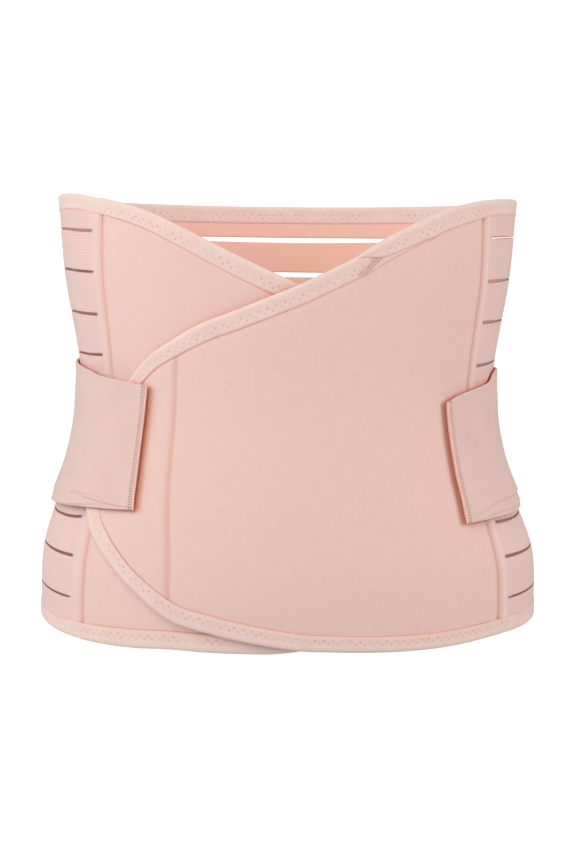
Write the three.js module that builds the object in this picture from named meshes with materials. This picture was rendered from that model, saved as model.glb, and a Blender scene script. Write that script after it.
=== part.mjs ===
// Wrap-around belly binder with two crossed front panels, in the shape it has when worn.
// Millimetres, +Z up, front towards -Y, origin at the centre of the waist.
// Angles are degrees round the body: 0 is the front centre, 90 is +X, 180 is the back.
// A lift is the distance of a cloth surface outwards from the body's surface.

import * as THREE from 'three';

// Cloth thicknesses and the gap kept between pieces
const PANEL_THICKNESS = 2.4;
const WEB_THICKNESS = 1.5;
const TAPE_THICKNESS = 0.8;
const STRAP_THICKNESS = 1.8;
const HOOK_THICKNESS = 1.2;
const GAP = 0.45;
const TAPE_GAP = 0.4;
const HOOK_GAP = 0.6;

// Folded tape on every edge
const TAPE_WIDTH = 10;
const TAPE_JOINT_ANGLE = 16;

// Long slits in the elastic back web
const SLIT_PITCH = 23.7;
const LOWEST_SLIT = -139.6;
const SLIT_END_SHARE = 0.02;
const SLIT_END_REACH = 75;
const SLIT_BEND_FROM = 3;
const SLIT_BEND_TO = 28;
const WEB_COLUMNS = 36;

// Crossing of the front panels: the over panel climbs onto the under panel
const OVER_LIFT = 5.2;
const CLIMB_FROM_ANGLE = 54;
const CLIMB_TO_ANGLE = 31;

// Sewn channel pressed into the over panel
const CHANNEL_ROW = 9;
const CHANNEL_DEPTH = 0.7;
const CHANNEL_HALF_SPAN = 0.12;

// Mesh steps
const COLUMNS_PER_ROW = 2;
const ROWS_ACROSS_PANEL = 12;
const STRAP_COLUMNS = 24;
const HOOK_COLUMNS = 4;
const HOOK_ROWS = 8;
const NEARBY = 0.05;

// Body sections: how far the body reaches from the origin to each side
const BODY = [
  { height: -160, left: 152.9, right: 156.3, front: 96, back: 104 },
  { height: -120, left: 150.9, right: 154.3, front: 97, back: 105 },
  { height: -90, left: 142.2, right: 143.2, front: 95, back: 102 },
  { height: -60, left: 131.3, right: 131.2, front: 92, back: 97 },
  { height: -30, left: 125.7, right: 125.7, front: 89, back: 93 },
  { height: 0, left: 127.0, right: 127.2, front: 88, back: 92 },
  { height: 50, left: 135.0, right: 134.9, front: 89, back: 96 },
  { height: 98, left: 138.2, right: 137.8, front: 90, back: 100 },
];

// Over panel, from its side seam to its rounded end: a row is one line across it,
// from the top edge to the low edge, and bow is how far round the line bends between them
const OVER_PANEL = [
  { topAngle: 53.4, topHeight: 92.8, lowAngle: 53.4, lowHeight: -159.0, bow: 2.8 },
  { topAngle: 43.5, topHeight: 89.2, lowAngle: 44.2, lowHeight: -158.9, bow: 1.6 },
  { topAngle: 35.6, topHeight: 84.0, lowAngle: 35.5, lowHeight: -158.9, bow: 0.6 },
  { topAngle: 24.8, topHeight: 72.3, lowAngle: 25.8, lowHeight: -158.9, bow: 0.0 },
  { topAngle: 16.3, topHeight: 60.8, lowAngle: 17.0, lowHeight: -158.3, bow: 0.0 },
  { topAngle: 9.5, topHeight: 52.6, lowAngle: 9.5, lowHeight: -157.3, bow: 0.0 },
  { topAngle: 2.1, topHeight: 44.1, lowAngle: 3.0, lowHeight: -156.3, bow: -0.6 },
  { topAngle: -11.6, topHeight: 30.9, lowAngle: -7.0, lowHeight: -152.3, bow: -1.4 },
  { topAngle: -20.2, topHeight: 23.4, lowAngle: -16.0, lowHeight: -147.6, bow: -2.2 },
  { topAngle: -27.0, topHeight: 15.5, lowAngle: -24.5, lowHeight: -141.5, bow: -2.6 },
  { topAngle: -35.6, topHeight: 4.1, lowAngle: -33.1, lowHeight: -126.9, bow: -2.0 },
  { topAngle: -42.5, topHeight: -10.2, lowAngle: -39.9, lowHeight: -114.1, bow: -1.2 },
  { topAngle: -49.0, topHeight: -31.0, lowAngle: -48.4, lowHeight: -97.6, bow: -0.4 },
  { topAngle: -52.4, topHeight: -48.0, lowAngle: -52.0, lowHeight: -85.0, bow: 0.0 },
  { topAngle: -53.4, topHeight: -60.0, lowAngle: -53.4, lowHeight: -71.0, bow: 0.0 },
];

// Under panel, in the same columns, with its rounded end hidden beneath the over panel
const UNDER_PANEL = [
  { topAngle: -48.8, topHeight: 92.0, lowAngle: -50.7, lowHeight: -163.0, bow: -3.0 },
  { topAngle: -40.4, topHeight: 88.4, lowAngle: -42.2, lowHeight: -162.7, bow: -1.8 },
  { topAngle: -33.0, topHeight: 83.4, lowAngle: -34.0, lowHeight: -162.0, bow: -0.8 },
  { topAngle: -26.2, topHeight: 76.7, lowAngle: -25.0, lowHeight: -160.5, bow: 0.0 },
  { topAngle: -20.0, topHeight: 69.8, lowAngle: -17.0, lowHeight: -160.6, bow: 0.0 },
  { topAngle: -11.7, topHeight: 60.4, lowAngle: -9.0, lowHeight: -160.4, bow: 0.0 },
  { topAngle: -3.7, topHeight: 51.6, lowAngle: -1.0, lowHeight: -159.8, bow: 0.0 },
  { topAngle: 4.0, topHeight: 43.5, lowAngle: 6.0, lowHeight: -156.4, bow: 0.0 },
  { topAngle: 11.5, topHeight: 34.5, lowAngle: 12.5, lowHeight: -149.0, bow: 0.0 },
  { topAngle: 17.5, topHeight: 24.5, lowAngle: 17.8, lowHeight: -141.0, bow: 0.0 },
  { topAngle: 22.4, topHeight: 11.0, lowAngle: 22.2, lowHeight: -128.0, bow: 0.0 },
  { topAngle: 26.0, topHeight: -7.0, lowAngle: 25.6, lowHeight: -111.0, bow: 0.0 },
  { topAngle: 28.6, topHeight: -28.0, lowAngle: 28.4, lowHeight: -91.0, bow: 0.0 },
  { topAngle: 29.7, topHeight: -46.0, lowAngle: 29.6, lowHeight: -74.0, bow: 0.0 },
  { topAngle: 30.0, topHeight: -55.0, lowAngle: 30.0, lowHeight: -65.0, bow: 0.0 },
];

// Back web, from the over panel's seam round the back to the other: its top edge and hem, how
// far its slits gape, and how far they lie above their level
const WEB_EDGES = [
  { angle: 54, top: 92.8, hem: -159.0, gape: 1.3, shift: -1.2 },
  { angle: 62, top: 94.2, hem: -159.2, gape: 1.3, shift: -1.2 },
  { angle: 75, top: 95.2, hem: -159.0, gape: 0.8, shift: -0.4 },
  { angle: 100, top: 95.3, hem: -158.6, gape: 0.5, shift: 0.8 },
  { angle: 180, top: 95.7, hem: -159.0, gape: 3.4, shift: 0.3 },
  { angle: 260, top: 96.0, hem: -160.0, gape: 0.5, shift: 2.2 },
  { angle: 285, top: 96.2, hem: -161.2, gape: 0.8, shift: 2.2 },
  { angle: 298, top: 95.4, hem: -162.6, gape: 1.2, shift: 1.2 },
  { angle: 310, top: 92.0, hem: -163.0, gape: 1.3, shift: 0.8 },
];

// Slits from the lowest up: how far each end lies above the slit's usual course, and how far
// the slit bends up on the flank beside it
const SLITS = [
  { right: 1.6, left: -0.9, rightBend: -0.4, leftBend: -1.5 },
  { right: 2.0, left: 0.0, rightBend: -1.4, leftBend: -1.7 },
  { right: -0.1, left: -0.5, rightBend: -1.7, leftBend: -4.1 },
  { right: -1.5, left: 0.0, rightBend: -1.2, leftBend: -3.4 },
  { right: -2.5, left: 0.0, rightBend: -0.8, leftBend: -2.8 },
  { right: -3.1, left: 0.2, rightBend: -0.6, leftBend: -2.4 },
  { right: -3.1, left: 0.4, rightBend: -0.4, leftBend: -2.0 },
  { right: -1.0, left: -0.2, rightBend: -0.6, leftBend: 0.0 },
  { right: -1.2, left: 0.2, rightBend: 0.3, leftBend: 1.2 },
  { right: 0.4, left: 0.1, rightBend: 0.3, leftBend: 1.0 },
];

// Side straps, from the fastened end to the end sewn on at the back. Round is the angle on
// the strap's own side, bow is how far it bends round at mid height, lean is how far the top
// edge leans in, crease is how far above the low edge the cloth is folded back, and tuck is
// how far the folded margin lies behind the rest
const LEFT_STRAP = [
  { round: 35.6, low: -83.2, high: -11.3, bow: 1.35, lift: 9.7, lean: 0.0, crease: 1.5, tuck: 0.0 },
  { round: 42.0, low: -84.3, high: -9.8, bow: 0.9, lift: 10.0, lean: 0.1, crease: 1.8, tuck: 0.5 },
  { round: 48.0, low: -85.2, high: -8.2, bow: 0.4, lift: 10.5, lean: 0.2, crease: 3.6, tuck: 1.1 },
  { round: 55.0, low: -86.3, high: -6.9, bow: 0.1, lift: 9.8, lean: 2.0, crease: 5.3, tuck: 1.2 },
  { round: 62.0, low: -87.6, high: -5.6, bow: 0.0, lift: 7.6, lean: 3.2, crease: 6.8, tuck: 1.4 },
  { round: 75.0, low: -89.5, high: -3.2, bow: 0.0, lift: 4.9, lean: 1.9, crease: 8.0, tuck: 1.6 },
  { round: 90.0, low: -91.0, high: -1.6, bow: 0.0, lift: 3.8, lean: 1.5, crease: 8.6, tuck: 1.3 },
  { round: 120.0, low: -91.5, high: -1.0, bow: 0.0, lift: 2.7, lean: 0.6, crease: 9.0, tuck: 0.0 },
  { round: 150.0, low: -91.5, high: -1.0, bow: 0.0, lift: 1.9, lean: 0.0, crease: 9.0, tuck: 0.0 },
];
const RIGHT_STRAP = [
  { round: 44.3, low: -91.6, high: -20.5, bow: 1.0, lift: 6.7, lean: 0.0, crease: 1.5, tuck: 0.0 },
  { round: 50.0, low: -91.4, high: -16.8, bow: 0.6, lift: 6.1, lean: 0.2, crease: 4.6, tuck: 0.6 },
  { round: 58.0, low: -91.4, high: -14.2, bow: 0.2, lift: 5.3, lean: 0.6, crease: 8.4, tuck: 1.3 },
  { round: 66.0, low: -91.8, high: -12.4, bow: 0.0, lift: 4.7, lean: 1.3, crease: 9.6, tuck: 1.3 },
  { round: 71.0, low: -92.0, high: -11.0, bow: 0.0, lift: 4.4, lean: 1.8, crease: 9.6, tuck: 1.6 },
  { round: 74.0, low: -92.0, high: -7.4, bow: 0.0, lift: 4.3, lean: 1.8, crease: 9.6, tuck: 1.8 },
  { round: 78.0, low: -92.0, high: -5.6, bow: 0.0, lift: 4.2, lean: 1.8, crease: 9.6, tuck: 2.0 },
  { round: 115.0, low: -92.0, high: -5.0, bow: 0.0, lift: 2.9, lean: 0.7, crease: 9.0, tuck: 0.7 },
  { round: 150.0, low: -92.0, high: -5.0, bow: 0.0, lift: 1.9, lean: 0.0, crease: 9.0, tuck: 0.0 },
];

// Hook tape under each strap end, set back a little from the end
const LEFT_HOOK = [
  { height: -81.5, front: -36.2, rear: -45.0 },
  { height: -60.0, front: -37.2, rear: -44.0 },
  { height: -40.0, front: -37.4, rear: -43.0 },
  { height: -25.0, front: -36.9, rear: -40.4 },
  { height: -15.0, front: -36.2, rear: -37.2 },
];
const RIGHT_HOOK = [
  { height: -89.5, front: 44.9, rear: 53.0 },
  { height: -70.0, front: 45.7, rear: 53.0 },
  { height: -50.0, front: 45.8, rear: 52.6 },
  { height: -35.0, front: 45.4, rear: 52.3 },
  { height: -22.0, front: 44.9, rear: 52.0 },
];

// Colours and finishes
const FINISHES = {
  panel: { color: 0xe8c7bc, roughness: 0.95 },
  web: { color: 0xe4bcae, roughness: 0.85 },
  tape: { color: 0xebd0c6, roughness: 0.8 },
  strap: { color: 0xe0b4a5, roughness: 0.85 },
  hook: { color: 0xe6c4b8, roughness: 0.7 },
};

// Smooth curve through one column of a table whose rows rise in the key column
function along(rows, key, column, at) {
  const last = rows.length - 1;
  let row = 0;
  while (row < last - 1 && rows[row + 1][key] < at) {
    row += 1;
  }
  const slope = (index) => {
    const before = rows[Math.max(index - 1, 0)];
    const after = rows[Math.min(index + 1, last)];
    return (after[column] - before[column]) / (after[key] - before[key]);
  };
  const span = rows[row + 1][key] - rows[row][key];
  const t = THREE.MathUtils.clamp((at - rows[row][key]) / span, 0, 1);
  const s = 1 - t;
  const start = rows[row][column] * s * s * (1 + 2 * t) + slope(row) * span * t * s * s;
  const end = rows[row + 1][column] * t * t * (3 - 2 * t) - slope(row + 1) * span * t * t * s;
  return start + end;
}

// Points on the body and on surfaces lifted off it
function bodyPoint(angle, height) {
  const turn = THREE.MathUtils.degToRad(angle);
  const depth = along(BODY, 'height', Math.cos(turn) > 0 ? 'front' : 'back', height);
  const width = along(BODY, 'height', Math.sin(turn) > 0 ? 'right' : 'left', height);
  return new THREE.Vector3(width * Math.sin(turn), -depth * Math.cos(turn), height);
}

function directions(angle, height) {
  const round = bodyPoint(angle + NEARBY, height).sub(bodyPoint(angle - NEARBY, height));
  const up = bodyPoint(angle, height + NEARBY).sub(bodyPoint(angle, height - NEARBY));
  return { round: round.divideScalar(2 * NEARBY), up: up.divideScalar(2 * NEARBY) };
}

function liftedPoint(angle, height, lift) {
  const { round, up } = directions(angle, height);
  return bodyPoint(angle, height).addScaledVector(round.cross(up).normalize(), lift);
}

// Inner and outer lifts of each cloth piece that the tape wraps
function overCover(angle) {
  const climb = THREE.MathUtils.smoothstep(-angle, -CLIMB_FROM_ANGLE, -CLIMB_TO_ANGLE);
  const inner = OVER_LIFT * climb;
  return { inner, outer: inner + PANEL_THICKNESS };
}

function underCover() {
  return { inner: 0, outer: PANEL_THICKNESS };
}

function webCover() {
  return { inner: 0, outer: WEB_THICKNESS };
}

// Closed cloth solid on a grid of spots, columns first, each with an angle, a height and its
// two lifts. Cells that are not kept are left open right through
function clothSolid(columns, isKept = () => true) {
  const isFalling = columns[0][0].angle > columns.at(-1)[0].angle;
  const grid = isFalling ? [...columns].reverse() : columns;
  const rowCount = grid[0].length;
  const positions = [];
  for (const spot of grid.flat()) {
    positions.push(...liftedPoint(spot.angle, spot.height, spot.inner).toArray());
    positions.push(...liftedPoint(spot.angle, spot.height, spot.outer).toArray());
  }
  const inner = (i, j) => 2 * (i * rowCount + j);
  const outer = (i, j) => inner(i, j) + 1;
  const isInside = (i, j) => i >= 0 && j >= 0 && i < grid.length - 1 && j < rowCount - 1;
  const isCell = (i, j) => isInside(i, j) && isKept(i, j);
  const quads = [];
  for (let i = 0; i < grid.length - 1; i += 1) {
    for (let j = 0; j < rowCount - 1; j += 1) {
      if (!isCell(i, j)) {
        continue;
      }
      const [i2, j2] = [i + 1, j + 1];
      quads.push([outer(i, j), outer(i2, j), outer(i2, j2), outer(i, j2)]);
      quads.push([inner(i, j), inner(i, j2), inner(i2, j2), inner(i2, j)]);
      if (!isCell(i - 1, j)) {
        quads.push([inner(i, j), outer(i, j), outer(i, j2), inner(i, j2)]);
      }
      if (!isCell(i2, j)) {
        quads.push([outer(i2, j), inner(i2, j), inner(i2, j2), outer(i2, j2)]);
      }
      if (!isCell(i, j - 1)) {
        quads.push([inner(i, j), inner(i2, j), outer(i2, j), outer(i, j)]);
      }
      if (!isCell(i, j2)) {
        quads.push([outer(i, j2), outer(i2, j2), inner(i2, j2), inner(i, j2)]);
      }
    }
  }
  return meshGeometry(positions, quads.flatMap(([a, b, c, d]) => [a, b, c, a, c, d]));
}

function meshGeometry(positions, indices) {
  const geometry = new THREE.BufferGeometry();
  geometry.setAttribute('position', new THREE.Float32BufferAttribute(positions, 3));
  geometry.setIndex(indices);
  geometry.computeVertexNormals();
  return geometry;
}

// Front panels: lines across the panel, worked out between the rows of its table
function panelLine(rows, share) {
  const numbered = rows.map((row, index) => ({ index, ...row }));
  const read = (column) => along(numbered, 'index', column, share * (rows.length - 1));
  return {
    top: new THREE.Vector2(read('topAngle'), read('topHeight')),
    low: new THREE.Vector2(read('lowAngle'), read('lowHeight')),
    bow: read('bow'),
  };
}

function spotOnLine(line, climb) {
  const spot = line.low.clone().lerp(line.top, climb);
  return { angle: spot.x + line.bow * 4 * climb * (1 - climb), height: spot.y };
}

function panelShares(rows) {
  const steps = (rows.length - 1) * COLUMNS_PER_ROW;
  return Array.from({ length: steps + 1 }, (_, step) => step / steps);
}

// Steps from the low edge to the top edge, with the tape's two inner edges among them
function panelClimbs(line) {
  const start = bodyPoint(line.low.x, line.low.y);
  const length = start.distanceTo(bodyPoint(line.top.x, line.top.y));
  const margin = Math.min(TAPE_WIDTH / length, 1 / ROWS_ACROSS_PANEL);
  const between = ROWS_ACROSS_PANEL - 2;
  const middle = Array.from({ length: between + 1 }, (_, step) => (
    THREE.MathUtils.lerp(margin, 1 - margin, step / between)
  ));
  return [0, ...middle, 1];
}

function frontPanel(rows, cover, shares, depthAt) {
  const columns = shares.map((share) => {
    const line = panelLine(rows, share);
    return panelClimbs(line).map((climb) => {
      const spot = spotOnLine(line, climb);
      const { inner, outer } = cover(spot.angle);
      return { ...spot, inner, outer: outer - depthAt(share) };
    });
  });
  return clothSolid(columns);
}

function overPanel() {
  const rowSpan = 1 / (OVER_PANEL.length - 1);
  const channel = CHANNEL_ROW * rowSpan;
  const side = CHANNEL_HALF_SPAN * rowSpan;
  const shares = [...panelShares(OVER_PANEL), channel - side, channel + side];
  shares.sort((a, b) => a - b);
  const depthAt = (share) => (Math.abs(share - channel) < side / 2 ? CHANNEL_DEPTH : 0);
  return frontPanel(OVER_PANEL, overCover, shares, depthAt);
}

function underPanel() {
  return frontPanel(UNDER_PANEL, underCover, panelShares(UNDER_PANEL), () => 0);
}

// Back web: eleven bands between ten slits, joined by a plain strip along each seam
function seamAngle(rows, height) {
  const line = panelLine(rows, 0);
  const climb = THREE.MathUtils.clamp((height - line.low.y) / (line.top.y - line.low.y), 0, 1);
  return spotOnLine(line, climb).angle;
}

function webShares() {
  const between = WEB_COLUMNS - 2;
  const middle = Array.from({ length: between + 1 }, (_, step) => (
    THREE.MathUtils.lerp(SLIT_END_SHARE, 1 - SLIT_END_SHARE, step / between)
  ));
  return [0, ...middle, 1];
}

function webAngle(share, height) {
  const { round } = directions(seamAngle(OVER_PANEL, height), height);
  const gapAngle = GAP / round.length();
  const start = seamAngle(OVER_PANEL, height) + gapAngle;
  const end = 360 + seamAngle(UNDER_PANEL, height) - gapAngle;
  return THREE.MathUtils.lerp(start, end, share);
}

function webEdge(share, column) {
  const middleAngle = webAngle(share, 0);
  const height = along(WEB_EDGES, 'angle', column, middleAngle);
  const angle = webAngle(share, height);
  return { angle, height: along(WEB_EDGES, 'angle', column, angle) };
}

function slitSides(share, slit) {
  const level = LOWEST_SLIT + slit * SLIT_PITCH;
  const angle = webAngle(share, level);
  const read = (column) => along(WEB_EDGES, 'angle', column, angle);
  const rise = (fromEnd, atEnd, bend) => {
    const nearEnd = 1 - THREE.MathUtils.smoothstep(fromEnd, 0, SLIT_END_REACH);
    const onFlank = THREE.MathUtils.smoothstep(fromEnd, SLIT_BEND_FROM, SLIT_BEND_TO)
      * (1 - THREE.MathUtils.smoothstep(fromEnd, SLIT_BEND_TO, SLIT_END_REACH));
    return nearEnd * atEnd + onFlank * bend;
  };
  const start = rise(angle - WEB_EDGES[0].angle, SLITS[slit].right, SLITS[slit].rightBend);
  const end = rise(WEB_EDGES.at(-1).angle - angle, SLITS[slit].left, SLITS[slit].leftBend);
  const middle = level + read('shift') + start + end;
  return [middle - read('gape') / 2, middle + read('gape') / 2];
}

function backWeb() {
  const columns = webShares().map((share) => {
    const slits = SLITS.map((_, slit) => slitSides(share, slit));
    const heights = [webEdge(share, 'hem').height, ...slits.flat(), webEdge(share, 'top').height];
    return heights.map((height) => ({ angle: webAngle(share, height), height, ...webCover() }));
  });
  const isStrip = (column) => column === 0 || column === WEB_COLUMNS - 1;
  const isSlit = (row) => row % 2 === 1;
  return clothSolid(columns, (column, row) => isStrip(column) || !isSlit(row));
}

// Edge tape: one strip folded over the whole outline, its two ends meeting at a joint
function panelEdge(rows, cover, side, turns) {
  return panelShares(rows).map((share) => {
    const point = panelLine(rows, share)[side];
    return { angle: point.x + 360 * turns, height: point.y, cover };
  });
}

function tapeRoute() {
  const inside = webShares().slice(1, -1);
  const webRoute = (column) => inside.map((share) => ({ ...webEdge(share, column), cover: webCover }));
  return [
    ...panelEdge(OVER_PANEL, overCover, 'top', 0).reverse(),
    ...webRoute('top'),
    ...panelEdge(UNDER_PANEL, underCover, 'top', 1),
    ...panelEdge(UNDER_PANEL, underCover, 'low', 1).reverse(),
    ...webRoute('hem').reverse(),
    ...panelEdge(OVER_PANEL, overCover, 'low', 0),
  ];
}

// Folded section of the tape: inset is inwards from the cloth's edge
function tapeProfile({ inner, outer }) {
  const skin = TAPE_GAP + TAPE_THICKNESS;
  return [
    { inset: TAPE_WIDTH, lift: outer + skin },
    { inset: 0, lift: outer + skin },
    { inset: -skin, lift: (inner + outer) / 2 },
    { inset: 0, lift: inner - skin },
    { inset: TAPE_WIDTH, lift: inner - skin },
    { inset: TAPE_WIDTH, lift: inner - TAPE_GAP },
    { inset: -TAPE_GAP, lift: inner - TAPE_GAP },
    { inset: -TAPE_GAP, lift: outer + TAPE_GAP },
    { inset: TAPE_WIDTH, lift: outer + TAPE_GAP },
  ];
}

// Step inwards from the edge, at right angles to it in the cloth
function inwardStep(before, after, station) {
  const { round, up } = directions(station.angle, station.height);
  const ahead = new THREE.Vector2(
    (after.angle - before.angle) * round.length(),
    (after.height - before.height) * up.length(),
  ).normalize();
  return { angle: ahead.y / round.length(), height: -ahead.x / up.length() };
}

function tapeSection(before, station, after) {
  const step = inwardStep(before, after, station);
  return tapeProfile({ inner: 0, outer: 0 }).map(({ inset }, corner) => {
    const angle = station.angle + step.angle * inset;
    const height = station.height + step.height * inset;
    return liftedPoint(angle, height, tapeProfile(station.cover(angle))[corner].lift);
  });
}

function edgeTape() {
  const route = tapeRoute();
  const count = route.length;
  const at = (index) => route[(index + count) % count];
  const between = (from, to, share) => ({
    angle: THREE.MathUtils.lerp(from.angle, to.angle, share),
    height: THREE.MathUtils.lerp(from.height, to.height, share),
    cover: from.cover,
  });
  const joint = route.findIndex((station) => station.angle > TAPE_JOINT_ANGLE);
  const placeOf = (station) => bodyPoint(station.angle, station.height);
  const stationStep = placeOf(at(joint)).distanceTo(placeOf(at(joint + 1)));
  const jointShare = GAP / 2 / stationStep;
  const first = between(at(joint), at(joint + 1), jointShare);
  const last = between(at(joint), at(joint - 1), jointShare);
  const sections = [tapeSection(at(joint - 1), first, at(joint + 1))];
  for (let step = 1; step < count; step += 1) {
    sections.push(tapeSection(at(joint + step - 1), at(joint + step), at(joint + step + 1)));
  }
  sections.push(tapeSection(at(joint - 1), last, at(joint + 1)));
  return tubeSolid(sections);
}

// Closed tube through sections of equal corner count, with a flat cap on each end
function tubeSolid(sections) {
  const corners = sections[0].length;
  const indices = [];
  for (let section = 0; section < sections.length - 1; section += 1) {
    for (let corner = 0; corner < corners; corner += 1) {
      const here = section * corners + corner;
      const next = section * corners + ((corner + 1) % corners);
      indices.push(here, here + corners, next + corners, here, next + corners, next);
    }
  }
  const outline = tapeProfile(underCover()).map(({ inset, lift }) => new THREE.Vector2(inset, lift));
  const lastStart = (sections.length - 1) * corners;
  for (const [a, b, c] of THREE.ShapeUtils.triangulateShape(outline, [])) {
    indices.push(a, b, c, lastStart + a, lastStart + c, lastStart + b);
  }
  return meshGeometry(sections.flat().flatMap((point) => point.toArray()), indices);
}

// Side straps, with the low margin folded back behind the crease
function sideStrap(rows, side) {
  const [first, last] = [rows[0].round, rows.at(-1).round];
  const columns = Array.from({ length: STRAP_COLUMNS + 1 }, (_, step) => {
    const round = THREE.MathUtils.lerp(first, last, step / STRAP_COLUMNS);
    const read = (column) => along(rows, 'round', column, round);
    const [low, high, lift] = [read('low'), read('high'), read('lift')];
    const fold = low + read('crease');
    const spot = (height, setBack) => {
      const climb = (height - low) / (high - low);
      const inner = lift - setBack;
      const angle = side * (round + read('bow') * 4 * climb * (1 - climb));
      return { angle, height, inner, outer: inner + STRAP_THICKNESS };
    };
    const margin = [spot(low, read('tuck')), spot(fold - 1, read('tuck'))];
    const face = [0, 0.25, 0.5, 0.8].map((share) => spot(THREE.MathUtils.lerp(fold, high, share), 0));
    return [...margin, ...face, spot(high, read('lean'))];
  });
  return clothSolid(columns);
}

// Hook tape laid on the over panel beneath a strap end
function hookTape(rows) {
  const [low, high] = [rows[0].height, rows.at(-1).height];
  const heights = Array.from({ length: HOOK_ROWS + 1 }, (_, step) => (
    THREE.MathUtils.lerp(low, high, step / HOOK_ROWS)
  ));
  const columns = Array.from({ length: HOOK_COLUMNS + 1 }, (_, step) => heights.map((height) => {
    const front = along(rows, 'height', 'front', height);
    const rear = along(rows, 'height', 'rear', height);
    const angle = THREE.MathUtils.lerp(front, rear, step / HOOK_COLUMNS);
    const inner = overCover(angle).outer + HOOK_GAP;
    return { angle, height, inner, outer: inner + HOOK_THICKNESS };
  }));
  return clothSolid(columns);
}

// Named pieces of the binder
function piece(name, geometry, finish) {
  const material = new THREE.MeshStandardMaterial({ ...FINISHES[finish], metalness: 0 });
  const mesh = new THREE.Mesh(geometry, material);
  mesh.name = name;
  return mesh;
}

const binder = new THREE.Group();
binder.name = 'belly_wrap';
binder.add(
  piece('back_web', backWeb(), 'web'),
  piece('front_panel_under', underPanel(), 'panel'),
  piece('front_panel_over', overPanel(), 'panel'),
  piece('edge_tape', edgeTape(), 'tape'),
  piece('strap_left', sideStrap(LEFT_STRAP, -1), 'strap'),
  piece('strap_right', sideStrap(RIGHT_STRAP, 1), 'strap'),
  piece('hook_tape_left', hookTape(LEFT_HOOK), 'hook'),
  piece('hook_tape_right', hookTape(RIGHT_HOOK), 'hook'),
);

export default binder;
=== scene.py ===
"""Belly wrap in its worn shape: a slit elastic back web, two crossed front panels, one folded
tape round every edge, and two side straps held by hook tape. Sizes are millimetres unless a
name says otherwise; angles are degrees round the body, with 0 at the front centre and 90 at +X."""
import math

import bpy
import numpy as np
from mathutils import Matrix


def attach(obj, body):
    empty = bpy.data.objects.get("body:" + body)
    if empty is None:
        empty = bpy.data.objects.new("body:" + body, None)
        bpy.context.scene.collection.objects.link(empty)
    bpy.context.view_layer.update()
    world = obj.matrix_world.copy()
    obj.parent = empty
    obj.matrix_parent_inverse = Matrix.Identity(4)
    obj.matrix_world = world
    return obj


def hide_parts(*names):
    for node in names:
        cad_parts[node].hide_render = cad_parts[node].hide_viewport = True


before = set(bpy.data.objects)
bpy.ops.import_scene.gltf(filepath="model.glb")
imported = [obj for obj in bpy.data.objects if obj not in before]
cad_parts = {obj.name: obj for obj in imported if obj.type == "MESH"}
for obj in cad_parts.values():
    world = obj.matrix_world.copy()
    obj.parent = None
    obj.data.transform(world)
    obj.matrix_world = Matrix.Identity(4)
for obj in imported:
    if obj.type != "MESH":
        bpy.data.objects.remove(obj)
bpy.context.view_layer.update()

MM = 0.001

# Length round the body for one degree, as on the front
DEGREE = 1.95

# Cloth thicknesses, as in the solids
PANEL_THICKNESS = 2.4
WEB_THICKNESS = 1.5
STRAP_THICKNESS = 1.8
HOOK_THICKNESS = 1.2
TAPE_THICKNESS = 0.75
HOOK_GAP = 0.6

# Soft waves in the cloth: how many are added up, and their lengths as shares of a usual length
RIPPLE_WAVES = 7
RIPPLE_LENGTHS = (0.7, 1.5)

# Share of a half circle that a cut edge is rounded to, and share of that at a sewn edge
EDGE_ROUNDNESS = 0.9
SEWN_ROUNDING = 0.4

# Body under the cloth, a column for each measure and a place in it for each height
BODY = dict(
    height=(-160, -120, -90, -60, -30, 0, 50, 98),
    left=(152.9, 150.9, 142.2, 131.3, 125.7, 127.0, 135.0, 138.2),
    right=(156.3, 154.3, 143.2, 131.2, 125.7, 127.2, 134.9, 137.8),
    front=(96, 97, 95, 92, 89, 88, 89, 90),
    back=(104, 105, 102, 97, 93, 92, 96, 100),
)

# Front panels, as lines across them from the side seam to the rounded end
OVER_PANEL = dict(
    top_angle=(53.4, 43.5, 35.6, 24.8, 16.3, 9.5, 2.1, -11.6, -20.2, -27, -35.6, -42.5, -49, -52.4, -53.4),
    top_height=(92.8, 89.2, 84, 72.3, 60.8, 52.6, 44.1, 30.9, 23.4, 15.5, 4.1, -10.2, -31, -48, -60),
    low_angle=(53.4, 44.2, 35.5, 25.8, 17, 9.5, 3, -7, -16, -24.5, -33.1, -39.9, -48.4, -52, -53.4),
    low_height=(-159, -158.9, -158.9, -158.9, -158.3, -157.3, -156.3, -152.3, -147.6, -141.5,
                -126.9, -114.1, -97.6, -85, -71),
    bow=(2.8, 1.6, 0.6, 0, 0, 0, -0.6, -1.4, -2.2, -2.6, -2, -1.2, -0.4, 0, 0),
)
UNDER_PANEL = dict(
    top_angle=(-48.8, -40.4, -33, -26.2, -20, -11.7, -3.7, 4, 11.5, 17.5, 22.4, 26, 28.6, 29.7, 30),
    top_height=(92, 88.4, 83.4, 76.7, 69.8, 60.4, 51.6, 43.5, 34.5, 24.5, 11, -7, -28, -46, -55),
    low_angle=(-50.7, -42.2, -34, -25, -17, -9, -1, 6, 12.5, 17.8, 22.2, 25.6, 28.4, 29.6, 30),
    low_height=(-163, -162.7, -162, -160.5, -160.6, -160.4, -159.8, -156.4, -149, -141, -128,
                -111, -91, -74, -65),
    bow=(-3, -1.8, -0.8, 0, 0, 0, 0, 0, 0, 0, 0, 0, 0, 0, 0),
)

# Climb of the over panel onto the under panel
OVER_LIFT = 5.2
CLIMB_FROM_ANGLE = 54
CLIMB_TO_ANGLE = 31

# Panel meshes, with finer columns beside the seam and the channel, as shares of the panel
COLUMNS_PER_LINE = 13
PANEL_ROWS = 150
SEAM_COLUMNS = (0.001, 0.003, 0.006, 0.01)
CHANNEL_COLUMNS = (-0.0082, -0.0027, 0.0014, 0.0027, 0.004, 0.0068)

# Lines across a panel bow out above this stretch of their climb
BOW_FROM = (0.1, 0.55)

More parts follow.
